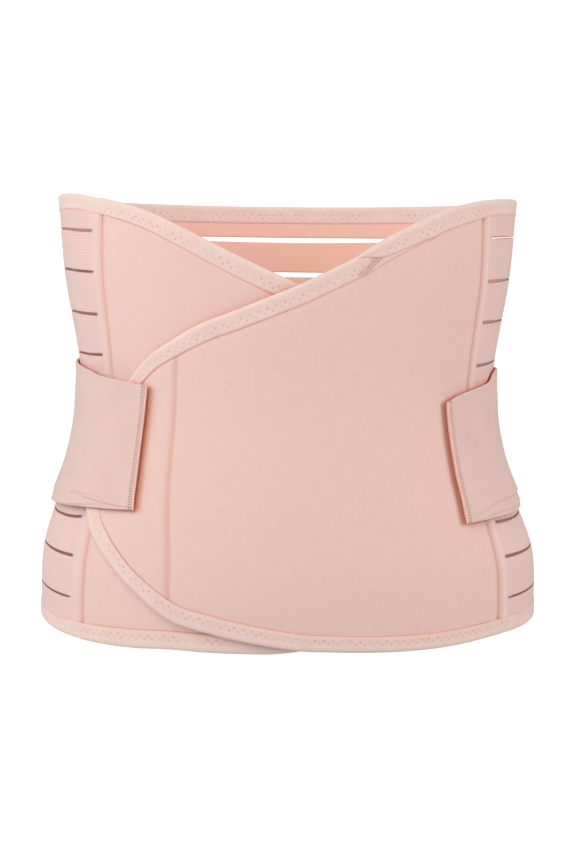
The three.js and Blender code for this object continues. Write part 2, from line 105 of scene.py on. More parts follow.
# Relief of the panels: pressed flat under the tape, rolled in, plump and puckered beside the seam,
# and softly waved further in. A spot is a ridge's distance from the seam and its width, and a
# reach is the stretch over which something fades
PANEL_SQUEEZE = 0.35
SQUEEZE_REACH = (9.0, 16.0)
SEAM_ROLL = 0.55
SEAM_ROLL_SPOT = (0, 1.6)
SEAM_PLUMP = 0.25
SEAM_PLUMP_SPOT = (4.0, 2.2)
SEAM_PUCKER = 0.1
SEAM_PUCKER_LENGTH = 15
SEAM_PUCKER_FALL = 8
# Painted shade along the seam: its distance from the seam and its width
SEAM_SHADE_SPOT = (0, 2.2)
PANEL_WAVE = 0.16
PANEL_WAVE_LENGTH = 90
WAVE_EDGE_REACH = (8, 30)
WAVE_SEAM_REACH = (2, 25)

# Sewn channel in the over panel: soft on its left side, steep on its right
CHANNEL_ROW = 9
CHANNEL_DEPTH = 0.45
CHANNEL_SHIFT = 0.4
CHANNEL_WIDTHS = (2.2, 0.9)
CHANNEL_END_REACH = (6, 14)

# Shade on the over panel in front of the strap ends
SHADE_FROM = 0.3
SHADE_REACH = 3.5
SHADE_FALL = 1.5
SHADE_LOW_REACH = (-3, 2)
SHADE_HIGH_REACH = (-3, 1)

# Back web, from the over panel's seam round the back to the other
WEB_EDGES = dict(
    angle=(54, 62, 75, 100, 180, 260, 285, 298, 310),
    top=(92.8, 94.2, 95.2, 95.3, 95.7, 96, 96.2, 95.4, 92),
    hem=(-159, -159.2, -159, -158.6, -159, -160, -161.2, -162.6, -163),
    gape=(1.5, 1.5, 0.9, 0.5, 3.4, 0.5, 0.9, 1.4, 1.5),
    shift=(-1.2, -1.2, -0.4, 0.8, 0.3, 2.2, 2.2, 1.2, 0.8),
)
WEB_SPAN = 250
WEB_COLUMNS = 122
SEAM_GAP = -0.25

# Plain strip of the web along each seam, as a share of the web, and its columns as shares of it
STRIP_SHARE = 0.02
STRIP_COLUMNS = (0, 0.12, 0.3, 0.55, 0.8, 1)
STRIP_REACH = (7.5, 11.0)
STRIP_PUCKER = 0.14
STRIP_PUCKER_LENGTH = 13
STRIP_PUCKER_SEED = 31
STRIP_BULGE = 0.45
STRIP_BULGE_SPOT = (5.0, 2.6)

# Painted highlight on the strip's ridge, and how strong it is beside the left and the right seam
RIDGE_HIGHLIGHT_SPOT = (5.5, 2.0)
RIDGE_HIGHLIGHT_LEFT, RIDGE_HIGHLIGHT_RIGHT = 0.3, 0.9

# Ribs of the web, which are fainter low down and on the right, and the rounding of its cut edges
RIB_PITCH = 1.7
RIB_HEIGHT = 0.08
LOW_RIBS = dict(share=0.3, reach=(-60, 0))
RIGHT_RIBS = dict(share=0.5, reach=(120, 240))
CUT_EDGE = 0.35
CUT_ROUNDING = 0.42

# Slits from the lowest up: how far each end lies above the slit's usual course, how far the
# slit bends up on the flank beside it, and how much of the usual gape it has there
SLIT_PITCH = 23.7
LOWEST_SLIT = -139.6
SLITS = dict(
    right=(2.1, 3.1, 0.1, -1.5, -2.5, -3.1, -2.7, -0.7, -0.9, 0.4),
    left=(-0.9, 0.4, 0.6, 0, 0, 0.2, 1.0, 0, 0.5, 0.1),
    right_bend=(-0.7, -1.4, -2.5, -1.2, -0.8, -0.6, -0.5, -0.8, 0.2, 0.3),
    left_bend=(-1.5, -1.7, -4.6, -3.4, -2.8, -2.4, -2.2, -0.2, 0.8, 1.0),
    right_gape=(0.25, 1, 1, 1, 1, 1, 1, 1, 1, 1),
    left_gape=(0.2, 1, 1, 1, 1, 1, 1, 1, 0.35, 1),
)
SLIT_BEND_TO = 28
SLIT_NARROW_TO = 40
SLIT_END_REACH = 75

# The low slits on the left end this many degrees further from the seam: the draw's width is a
# share of the web, and it fades out over these heights
LOW_END_DRAW = 1.2
LOW_END_WIDTH = 0.009
LOW_END_REACH = (-100, -60)

# Shade at the slits, from a share of the strip's width on: also over a margin beside a nearly
# closed slit, and lighter at the top slit
SLIT_SHADE_FROM = 0.9
SLIT_MARGIN = 2.0
MARGIN_SHADE = 0.9
TOP_SLIT_FROM = 60
TOP_SLIT_LIGHT = dict(right=0.8, left=0.55, reach=(200, 220))

# Shade on the inner face of the flanks, as seen through the slits
FLANK_SHADE = 0.4
FLANK_RIGHT_REACH = (124, 138)
FLANK_LEFT_REACH = (222, 236)
FLANK_TOP_REACH = (76, 86)

# Folded edge tape, and its width along its way from the joint
TAPE_WIDTH = 10.0
TAPE_REACH = dict(
    at=(0, 60, 110, 170, 500, 570, 650, 710, 1000, 1100, 1150, 1210, 1600, 1640, 1760, 1860, 1905,
        1955, 2035, 2085, 2190, 2260),
    width=(10, 10.3, 8.1, 9.8, 10, 7.9, 9, 10, 10, 10.2, 7.9, 9.5, 9.5, 8.8, 8.8, 9.8, 7.8,
           9.7, 6.9, 9, 10, 10.3),
)
TAPE_STEP = 1.8
ROUTE_POINTS = 400
WEB_ROUTE_POINTS = 500

# Steps over which the tape eases from one cloth to the next
EASE_STEPS = 9
EASE_WIDTH = 4.0

# Relief of the tape: drawn up between the stitches, with an inner edge that wanders
TAPE_WAVE = 0.06
TAPE_WAVE_SPOT = (5.0, 2.2)
TAPE_WANDER = 0.18
TAPE_WANDER_LENGTH = 60
TAPE_WANDER_SEED = 77

# Stretches round the body, on both flanks, where the tape shows no needle holes
PLAIN_TAPE = ((54, 60, 100, 130), (230, 260, 300, 309))

# Section of one leg of the tape, from its inner edge to the fold: inset from the cloth's edge
# and rise above the cloth's face, as a share of the tape's thickness. Its underside lies between
# two insets, a little clear of the cloth, and its inner edge has painted shade over the first points
LEG = dict(
    inset=(10.3, 10.15, 9.85, 9.3, 8.2, 6.9, 6.0, 5.0, 4.0, 3.1, 1.8, 0.5),
    rise=(0.05, 0.25, 0.6, 0.95, 1.08, 1.0, 0.92, 0.9, 0.94, 1.02, 1.12, 1.08),
)
FOLD = dict(share=(0.82, 0.5, 0.18), reach=(-0.75, -1.1, -0.75))
LEG_UNDERSIDE = (0.3, 9.7)
LEG_CLEARANCE = 0.03
EDGE_SHADE = (1.0, 0.9, 0.5, 0.1)

# Joint of the tape: its upper end tapers over its lower end, from the tip towards the seam
TONGUE = dict(
    angle=(16.0, 17.3, 18.4, 20.0, 22.0, 24.2, 27.2, 30.3, 33.0),
    width=(0.3, 1.2, 3.4, 5.9, 7.4, 8.1, 8.7, 9.3, 10.0),
    rise=(0.05, 0.4, 0.6, 0.65, 0.65, 0.65, 0.65, 0.6, 0.5),
)
TONGUE_EASE = 3.0
TONGUE_OVERLAP = 2.0
JOINT_LINE = dict(angle=(15.9, 20.3), height=(51.0, 60.6))
JOINT_RISE = 1.0

# Straps, from the fastened end to the end sewn on at the back
LEFT_STRAP = dict(
    round=(35.6, 42, 48, 55, 62, 75, 90, 120, 150),
    low=(-83.2, -84.3, -85.2, -86.3, -87.6, -89.5, -91, -91.5, -91.5),
    high=(-11.3, -9.8, -8.2, -6.9, -5.6, -3.2, -1.6, -1, -1),
    bow=(1.35, 0.9, 0.4, 0.1, 0, 0, 0, 0, 0),
    lift=(9.7, 10, 10.5, 9.8, 7.6, 4.9, 3.8, 2.7, 1.9),
    lean=(0, 0.1, 0.2, 2.0, 3.2, 1.9, 1.5, 0.6, 0),
)
RIGHT_STRAP = dict(
    round=(44.3, 50, 58, 66, 71, 74, 78, 115, 150),
    low=(-91.6, -91.4, -91.4, -91.8, -92, -92, -92, -92, -92),
    high=(-20.5, -16.8, -14.2, -12.4, -11, -7.4, -5.6, -5, -5),
    bow=(1, 0.6, 0.2, 0, 0, 0, 0, 0, 0),
    lift=(6.7, 6.1, 5.3, 4.7, 4.4, 4.3, 4.2, 2.9, 1.9),
    lean=(0, 0.2, 0.6, 1.3, 1.8, 1.8, 1.8, 0.7, 0),
)

# Strap meshes: columns in degrees from the fastened end, closer at the end, and rows as shares of
# the height, each stretch with its first, its last and its count, closer at the folds
STRAP_TIP_COLUMNS = (0, 0.03, 0.08, 0.16, 0.3, 0.41, 0.51, 0.61, 0.75, 0.9, 1.05, 1.18, 1.31, 1.5)
STRAP_COLUMNS_FROM = 1.9
STRAP_COLUMNS = 119
STRAP_MESH_ROWS = ((0, 0.16, 44), (0.165, 0.985, 60), (0.988, 1, 7))

# Relief of the straps: pressed in by the stitch rows and along the high edge, softly waved, and
# leaning in near the high edge
STRAP_ROW_DEPTH = 0.2
STRAP_ROW_SPOT = (1.7, 1.0)
STRAP_SELVEDGE = 0.12
SELVEDGE_SPOT = (1.8, 0.5)
STRAP_WAVE = 0.25
STRAP_WAVE_LENGTH = 55
STRAP_WAVE_REACH = (4, 24)
STRAP_WEAVE_REACH = (3, 8)
LEAN_FROM = (0.75, 1)

# Folds of the straps' low margins: the line above the low edge where the margin steps back, how
# deep the step is, and how wide
LEFT_FOLDS = (
    dict(round=(35.6, 42, 48, 55, 60, 68, 150), line=(1.8, 3.0, 4.7, 6.8, 7.8, 8.4, 8.6),
         depth=(0.3, 0.8, 0.9, 0.7, 0.3, 0, 0), width=0.7),
    dict(round=(35.6, 44, 46.5, 50, 55, 61, 75, 150), line=(3.2, 3.0, 2.6, 2.0, 1.5, 1.0, 0.7, 0.7),
         depth=(0, 0.1, 0.5, 0.7, 0.8, 0.7, 0.4, 0), width=0.6),
    dict(round=(35.6, 50, 62, 75, 90, 120, 150), line=(9, 9, 9, 9, 9, 9, 9),
         depth=(0, 0, 0.5, 0.8, 0.6, 0, 0), width=6.0),
)
RIGHT_FOLDS = (
    dict(round=(44.3, 50, 58, 66, 71, 78, 115, 150), line=(1.5, 4.6, 8.4, 9.6, 9.6, 9.6, 9, 9),
         depth=(0, 0.4, 0.8, 0.8, 1, 1.2, 0.4, 0), width=0.7),
    dict(round=(44.3, 50, 58, 66, 71, 78, 115, 150), line=(0.5, 1.6, 2.9, 3.4, 3.4, 3.4, 3.2, 3.2),
         depth=(0, 0.25, 0.5, 0.5, 0.6, 0.8, 0.3, 0), width=0.7),
)

# Hook tape under the strap ends, with close columns at its sides as shares of its width
HOOK_ROWS = 60
HOOK_EDGE_COLUMNS = (0, 0.01, 0.025, 0.05)
HOOK_MIDDLE_COLUMNS = (0.1, 0.9, 17)
LEFT_HOOK = dict(
    height=(-81.5, -60, -40, -25, -15),
    front=(-36.2, -37.2, -37.4, -36.9, -36.2),
    rear=(-45, -44, -43, -40.4, -37.2),
)
RIGHT_HOOK = dict(
    height=(-89.5, -70, -50, -35, -22),
    front=(44.9, 45.7, 45.8, 45.4, 44.9),
    rear=(53, 53, 52.6, 52.3, 52),
)

# Gap at each end of a stitch, as a share of its step
STITCH_GAP = 0.12

# Zigzag along the tape, with its needle holes. It ends short of the joint, and its thread lies at
# a share of the tape's thickness
STITCH_PERIOD = 5.0
STITCH_SWING = 1.0
STITCH_MIDDLE = 5.75
HOLE_RADIUS = 1.05
ZIGZAG_END = 24
ZIGZAG_RISE = 0.8

# Two rows along a strap's fastened end, and one row above the left strap's pleat
STRAP_ROWS = (1.0, 2.3)
STRAP_ROW_WIDTH = 0.4
STRAP_ROW_MARGIN = 1.6
STRAP_STITCH_STEP = 1.5
PLEAT_ROW = dict(round=(47, 52.5, 61.9, 70.5), above=(6.6, 7.6, 8.5, 8.6))
PLEAT_SPAN = (46, 61)
PLEAT_STEP = 1.55
PLEAT_RISE = 0.02

# Rows in the sewn channel, and across the tape at its joint
CHANNEL_STITCH_STEP = 2.6
CHANNEL_STITCH_SINK = 0.5
CHANNEL_STITCH_ENDS = (12, 11)
JOINT_STITCHES = 11
JOINT_ROWS = (0.0, 1.1)
JOINT_SWING = 0.25

# Colours, dark and light of each cloth
PANEL_DARK, PANEL_LIGHT = (0.765, 0.522, 0.453), (0.795, 0.552, 0.483)
TAPE_DARK, TAPE_LIGHT = (0.78, 0.565, 0.495), (0.81, 0.605, 0.535)
WEB_DARK, WEB_LIGHT = (0.705, 0.485, 0.433), (0.80, 0.565, 0.512)
STRAP_DARK, STRAP_LIGHT = (0.60, 0.405, 0.352), (0.80, 0.575, 0.513)
HOOK_DARK, HOOK_LIGHT = (0.80, 0.48, 0.37), (0.87, 0.58, 0.47)
THREAD_DARK, THREAD_LIGHT = (0.74, 0.52, 0.45), (0.78, 0.57, 0.5)
STITCH_DARK, STITCH_LIGHT = (0.84, 0.63, 0.56), (0.92, 0.71, 0.64)
SEAM_THREAD = (0.5, 0.26, 0.2)

# Colours of marked places on the cloth: sewn rows and needle holes, and painted light and shade
# Painted shade on the web's inner face, redder than the outside, for light bounced inside the wrap
WEB_INSIDE_SHADE = (0.88, 0.525, 0.415)
# Painted highlight on the ridge beside the web's seams
RIDGE_HIGHLIGHT = (0.82, 0.625, 0.58)
# Painted highlight on the edge of each strap's fastened end
STRAP_END_HIGHLIGHT = (0.98, 0.61, 0.5)
SEWN_ROW = (0.42, 0.25, 0.2)
HOLE = (0.6, 0.36, 0.295)
# Painted shade at the tape's inner edge: lighter on upper edges, which lie in real shadow, darker on lower
# ones
UPPER_EDGE_SHADE, LOWER_EDGE_SHADE = (1.0, 0.43, 0.31), (0.64, 0.235, 0.15)
# Painted shade along seams and the over panel's channel
GROOVE_SHADE = (0.72, 0.42, 0.335)
PANEL_SHADE = (0.72, 0.3, 0.19)
SLIT_SHADE = (0.26, 0.105, 0.085)
# Painted shade in crevices, where ambient occlusion finds cloth within a reach
CREASE_SHADE = (0.78, 0.32, 0.22)
CREASE_SHADE_REACH = 5.0
SHEEN = (1.0, 0.86, 0.8, 1.0)

# Depth of the nap, the stretch of each value that a cloth's colours spread over, and what the
# fibres, the patches and the nap add to a cloth's tone
NAP_DEPTH = 0.08
PANEL_NAP_DEPTH = 0.1
NAP_SPREAD = (0.35, 0.65)
TAPE_SPREAD = (0.38, 0.62)
WEAVE_SPREAD = (0.1, 0.85)
CREASE_SHADE_SPREAD = (0.25, 0.85)
HOLE_SPREAD = (0.3, 0.6)
FIBRE_TONE, PATCH_TONE = 0.45, 0.55
ELASTIC_NAP, ELASTIC_TONE = 0.5, 0.3

# Camera: the wrap is seen from the front, a little above the waist
CAMERA_PLACE = (1.1, -780.0, 53.5)
CAMERA_PITCH = 7.37
CAMERA_ROLL = 0.45
CAMERA_LENS = 52.17
SENSOR_HEIGHT = 36.0
SIGHT_METRES = 200.0

# Studio: three soft boxes over a pale floor, with floor and backdrop plain white to the camera
WHITE = (1.0, 1.0, 1.0, 1.0)
FLOOR_DROP = 1100.0
FLOOR_HALF = 30000.0
FLOOR_COLOUR = (0.9, 0.9, 0.9, 1.0)
FLOOR_SEEN = 1.05
BACKDROP = 0.36
BACKDROP_SEEN = 1.15
LIGHTS = dict(
    left_box=dict(place=(-1700, -500, 500), size=900, watts=11.5, colour=(0.91, 0.99, 1.0)),
    right_box=dict(place=(1700, -400, 450), size=900, watts=15.0, colour=(1.0, 0.95, 0.94)),
    front_box=dict(place=(-500, -1200, 850), size=1300, watts=15.6, colour=(1.0, 1.0, 1.0)),
)


# Body surface

def along(table, column, at):
    """Smooth curve through one column of a table, read at values of its first column."""
    keys = np.array(next(iter(table.values())), float)
    values = np.array(table[column], float)
    slopes = np.empty_like(values)
    slopes[1:-1] = (values[2:] - values[:-2]) / (keys[2:] - keys[:-2])
    slopes[0] = (values[1] - values[0]) / (keys[1] - keys[0])
    slopes[-1] = (values[-1] - values[-2]) / (keys[-1] - keys[-2])
    at = np.clip(np.asarray(at, float), keys[0], keys[-1])
    row = np.clip(np.searchsorted(keys, at, side="right") - 1, 0, len(keys) - 2)
    span = keys[row + 1] - keys[row]
    t = (at - keys[row]) / span
    s = 1 - t
    start = values[row] * s * s * (1 + 2 * t) + slopes[row] * span * t * s * s
    end = values[row + 1] * t * t * (3 - 2 * t) - slopes[row + 1] * span * t * t * s
    return start + end


def body_point(angle, height):
    turn = np.radians(angle)
    front, back, left, right = (
        along(BODY, side, height) for side in ("front", "back", "left", "right")
    )
    depth = np.where(np.cos(turn) > 0, front, back)
    width = np.where(np.sin(turn) > 0, right, left)
    return np.stack([width * np.sin(turn), -depth * np.cos(turn), height + 0 * turn], axis=-1)


def directions(angle, height):
    """Steps on the body for one degree round it and for one millimetre up it."""
    near = 0.05
    turn = body_point(angle + near, height) - body_point(angle - near, height)
    climb = body_point(angle, height + near) - body_point(angle, height - near)
    return turn / (2 * near), climb / (2 * near)


def outward(angle, height):
    turn, climb = directions(angle, height)
    normal = np.cross(turn, climb)
    return normal / np.linalg.norm(normal, axis=-1, keepdims=True)


def lifted(angle, height, lift):
    angle, height, lift = np.broadcast_arrays(angle, height, lift)
    return body_point(angle, height) + outward(angle, height) * lift[..., None]


def smoothstep(low, high, at):
    t = np.clip((at - low) / (high - low), 0, 1)
    return t * t * (3 - 2 * t)


def hump(at, middle, width):
    """Bell curve, 1 at its middle."""
    return np.exp(-((at - middle) / width) ** 2)


def ripple(x, y, scale, seed):
    """Soft irregular waves between -1 and 1, about scale millimetres long."""
    draw = np.random.default_rng(seed)
    total = 0
    for _ in range(RIPPLE_WAVES):
        heading, phase = draw.uniform(0, 2 * np.pi, 2)
        length = scale * draw.uniform(*RIPPLE_LENGTHS)
        total = total + np.sin(2 * np.pi * (x * np.cos(heading) + y * np.sin(heading)) / length + phase)
    return total / RIPPLE_WAVES


def over_lift(angle):
    return OVER_LIFT * smoothstep(-CLIMB_FROM_ANGLE, -CLIMB_TO_ANGLE, -np.asarray(angle, float))


# Mesh makers

def linked(name, data):
    piece = bpy.data.objects.new(name, data)
    bpy.context.scene.collection.objects.link(piece)
    return piece


def new_piece(name, points, faces, uv=None):
    """Smooth mesh object at the origin, from points in millimetres."""
    mesh = bpy.data.meshes.new(name)
    mesh.from_pydata((np.asarray(points).reshape(-1, 3) * MM).tolist(), [], faces)
    mesh.polygons.foreach_set("use_smooth", [True] * len(mesh.polygons))
    if uv is not None:
        corners = np.empty(len(mesh.loops), int)
        mesh.loops.foreach_get("vertex_index", corners)
        layer = mesh.uv_layers.new(name="cloth")
        layer.data.foreach_set("uv", np.asarray(uv, float).reshape(-1, 2)[corners].ravel())
    mesh.update()
    return linked(name, mesh)


def point_attribute(piece, name, values, kind="FLOAT", field="value"):
    layer = piece.data.attributes.new(name, kind, "POINT")
    layer.data.foreach_set(field, np.asarray(values, float).ravel())


def vector_attribute(piece, name, vectors):
    point_attribute(piece, name, vectors, "FLOAT_VECTOR", "vector")


def cloth_faces(kept):
    """Faces of a closed cloth whose points alternate between the inner and the outer side."""
    columns, rows = kept.shape[0] + 1, kept.shape[1] + 1
    padded = np.pad(kept, 1)
    inside = 2 * np.arange(columns * rows).reshape(columns, rows)

    def corners(index):
        return index[:-1, :-1], index[1:, :-1], index[1:, 1:], index[:-1, 1:]

    def quads(a, b, c, d, mask):
        return np.stack([a[mask], b[mask], c[mask], d[mask]], axis=-1)

    i00, i10, i11, i01 = corners(inside)
    o00, o10, o11, o01 = corners(inside + 1)
    return np.concatenate([
        quads(o00, o10, o11, o01, kept),
        quads(i00, i01, i11, i10, kept),
        quads(i00, o00, o01, i01, kept & ~padded[:-2, 1:-1]),
        quads(o10, i10, i11, o11, kept & ~padded[2:, 1:-1]),
        quads(i00, i10, o10, o00, kept & ~padded[1:-1, :-2]),
        quads(o01, o11, i11, i01, kept & ~padded[1:-1, 2:]),
    ]).tolist()


def cloth_piece(name, angle, height, inner, outer, marks, up=None, kept=None):
    """Closed cloth on a grid: the first axis runs round the body, the second up it. Columns that
    run to the left are turned round, so that the faces look outwards. Each mark is an attribute
    for the shader, the same on both sides unless it has a value for each."""
    columns, rows = angle.shape
    up = height if up is None else up
    kept = np.ones((columns - 1, rows - 1), bool) if kept is None else kept
    points = np.stack([lifted(angle, height, inner), lifted(angle, height, outer)], axis=2)
    uv = np.repeat(np.stack([angle * DEGREE, up], axis=-1)[:, :, None], 2, axis=2)
    rightwards = slice(None, None, -1 if angle[0, 0] > angle[-1, 0] else 1)
    piece = new_piece(name, points[rightwards], cloth_faces(kept[rightwards]), uv[rightwards])
    for label, mark in marks.items():
        mark = mark if mark.ndim == 3 else mark[:, :, None]
        point_attribute(piece, label, np.broadcast_to(mark, (columns, rows, 2))[rightwards])
    return piece


def edge_rounding(distance, thickness):
    """How far each face draws in near a cut edge, so that the edge is round."""
    reach = thickness / 2
    t = np.clip(distance / reach, 0, 1)
    return reach * (1 - np.sqrt(1 - (1 - t) ** 2)) * EDGE_ROUNDNESS


# Front panels

def panel_lines(panel, share):
    """Top end, low end and bow of the lines across a panel, at shares from seam to end."""
    numbered = dict(row=range(len(panel["bow"])), **panel)
    at = np.asarray(share) * (len(panel["bow"]) - 1)
    return {column: along(numbered, column, at) for column in panel}


def panel_spots(lines, climb):
    """Angles and heights along lines across a panel, which bow out above their lower part."""
    angle = lines["low_angle"] + (lines["top_angle"] - lines["low_angle"]) * climb
    height = lines["low_height"] + (lines["top_height"] - lines["low_height"]) * climb
    bulge = 4 * climb * (1 - climb) * smoothstep(*BOW_FROM, climb)
    return angle + lines["bow"] * bulge, height


def strap_shade(angle, height):
    """How dark the over panel is in front of each strap's end, from 0 to 1."""
    total = 0
    for strap, side in ((LEFT_STRAP, -1), (RIGHT_STRAP, 1)):
        low, high = strap["low"][0], strap["high"][0]
        climb = np.clip((height - low) / (high - low), 0, 1)
        end = strap["round"][0] + strap["bow"][0] * 4 * climb * (1 - climb)
        ahead = (end - side * angle) * DEGREE
        fall = np.clip(1 - (ahead - SHADE_FROM) / SHADE_REACH, 0, 1) ** SHADE_FALL
        ends = smoothstep(*SHADE_LOW_REACH, height - low)
        ends = ends * (1 - smoothstep(*SHADE_HIGH_REACH, height - high))
        total = np.maximum(total, fall * ends)
    return total


def front_panel(name, panel, base, seed, channel=None):
    """A padded panel from its seam to its end, with a sewn channel at a share of the way."""
    share = np.linspace(0, 1, (len(panel["bow"]) - 1) * COLUMNS_PER_LINE + 1)
    finer = np.array(SEAM_COLUMNS)
    if channel is not None:
        finer = np.concatenate([finer, channel + np.array(CHANNEL_COLUMNS)])
    share = np.sort(np.concatenate([share, finer]))[:, None]
    climb = np.linspace(0, 1, PANEL_ROWS)[None, :]
    lines = panel_lines(panel, share)
    angle, height = panel_spots(lines, climb)
    across = angle * DEGREE
    from_edge = np.minimum(climb, 1 - climb) * (lines["top_height"] - lines["low_height"])
    from_seam = np.abs(angle - angle[:1]) * DEGREE
    squeeze = PANEL_SQUEEZE * (1 - smoothstep(*SQUEEZE_REACH, from_edge))
    rounding = SEWN_ROUNDING * edge_rounding(from_seam, PANEL_THICKNESS)
    roll = SEAM_ROLL * hump(from_seam, *SEAM_ROLL_SPOT)
    plump = SEAM_PLUMP * hump(from_seam, *SEAM_PLUMP_SPOT)
    pucker = SEAM_PUCKER * np.exp(-from_seam / SEAM_PUCKER_FALL)
    pucker = pucker * ripple(height, across, SEAM_PUCKER_LENGTH, seed + 1)
    wave = PANEL_WAVE * ripple(across, height, PANEL_WAVE_LENGTH, seed)
    wave = wave * smoothstep(*WAVE_EDGE_REACH, from_edge) * smoothstep(*WAVE_SEAM_REACH, from_seam)
    relief = plump - roll + pucker + wave
    # Painted shade along the seam
    groove_shade = hump(from_seam, *SEAM_SHADE_SPOT)
    shade = 0 * angle
    if channel is not None:
        line_angle, _ = panel_spots(panel_lines(panel, np.array([[channel]])), climb)
        from_line = (angle - line_angle) * DEGREE - CHANNEL_SHIFT
        line = hump(from_line, 0, np.where(from_line < 0, *CHANNEL_WIDTHS))
        line = line * smoothstep(*CHANNEL_END_REACH, from_edge)
        relief = relief - CHANNEL_DEPTH * line
        # Painted shade in the channel
        groove_shade = np.maximum(groove_shade, line)
        shade = strap_shade(angle, height)
    inner = base(angle) + rounding
    outer = base(angle) + PANEL_THICKNESS - squeeze + relief - rounding
    return cloth_piece(name, angle, height, inner, outer, dict(groove_shade=groove_shade, shade=shade))


# Back web

def seam_angle(panel, height):
    lines = panel_lines(panel, 0.0)
    span = lines["top_height"] - lines["low_height"]
    climb = np.clip((height - lines["low_height"]) / span, 0, 1)
    angle, _ = panel_spots(lines, climb)
    return angle


def web_angle(share, height):
    gap_angle = SEAM_GAP / DEGREE
    start = seam_angle(OVER_PANEL, height) + gap_angle
    end = 360 + seam_angle(UNDER_PANEL, height) - gap_angle
    return start + (end - start) * share


def web_edge(share, column):
    height = along(WEB_EDGES, column, web_angle(share, 0.0))
    angle = web_angle(share, height)
    return angle, along(WEB_EDGES, column, angle)


def slit_sides(share, slit):
    """Heights of a slit's lower and upper side."""
    level = LOWEST_SLIT + slit * SLIT_PITCH
    angle = web_angle(share, level)
    middle = level + along(WEB_EDGES, "shift", angle)
    half = along(WEB_EDGES, "gape", angle) / 2
    from_ends = dict(right=angle - WEB_EDGES["angle"][0], left=WEB_EDGES["angle"][-1] - angle)
    for side, from_end in from_ends.items():
        near_end = 1 - smoothstep(0, SLIT_END_REACH, from_end)
        on_flank = np.sin(np.clip(from_end / SLIT_BEND_TO, 0, 1) * np.pi / 2)
        on_flank = on_flank * (1 - smoothstep(SLIT_BEND_TO, SLIT_END_REACH, from_end))
        middle = middle + near_end * SLITS[side][slit] + on_flank * SLITS[side + "_bend"][slit]
        narrowed = 1 - SLITS[side + "_gape"][slit]
        half = half * (1 - narrowed * (1 - smoothstep(SLIT_NARROW_TO, SLIT_END_REACH, from_end)))
    return middle - half, middle + half


def web_rows(low, high):
    """Row heights of one band as shares, two for each rib, with rounded cut edges."""
    ribs = round((high - low) / RIB_PITCH)
    edge = np.array([0.0, CUT_EDGE / (high - low)])
    middle = np.linspace(0, 1, 2 * ribs + 1)[1:-1]
    return np.concatenate([edge, middle, 1 - edge[::-1]])


def web_bands(share):
    """Heights of the web's rows, the band that each row is in, and the sides of the slits."""
    _, hem = web_edge(share, "hem")
    _, top = web_edge(share, "top")
    slits = [slit_sides(share, slit) for slit in range(len(SLITS["right"]))]
    lows = [hem] + [upper for _, upper in slits]
    highs = [lower for lower, _ in slits] + [top]
    heights, bands = [], []
    for band, (low, high) in enumerate(zip(lows, highs)):
        rows = web_rows(low.mean(), high.mean())
        heights.append(low[:, None] + (high - low)[:, None] * rows)
        bands += [band] * len(rows)
    return np.concatenate(heights, axis=1), np.array(bands), slits


def slit_shade(angle, height, bands, slits, at_cut, from_seam, in_strip):
    """How dark the web is at its cuts, from 0 to 1: also beside a slit that is nearly closed, and
    less at the top slit, which shows the light."""
    strip_width = STRIP_SHARE * WEB_SPAN * DEGREE
    is_slit = from_seam > SLIT_SHADE_FROM * strip_width
    beside_cut = np.roll(at_cut, 1) | np.roll(at_cut, -1)
    is_narrow = np.zeros(height.shape, bool)
    for slit, (lower, upper) in enumerate(slits):
        is_near = np.abs(height - ((lower + upper) / 2)[:, None]) < SLIT_MARGIN
        gape = np.where(angle < 180, SLITS["right_gape"][slit], SLITS["left_gape"][slit])
        is_narrow |= is_near & (gape < 1)
    shade = np.maximum(at_cut * is_slit, MARGIN_SHADE * beside_cut * is_narrow * (1 - in_strip))
    is_top = (bands >= len(slits) - 1) * (height > TOP_SLIT_FROM)
    right, left = TOP_SLIT_LIGHT["right"], TOP_SLIT_LIGHT["left"]
    light = right + (left - right) * smoothstep(*TOP_SLIT_LIGHT["reach"], angle)
    return shade * (1 - is_top * light)


def faded(at, share, reach):
    """Rises from a share to 1 over a reach."""
    return share + (1 - share) * smoothstep(*reach, at)


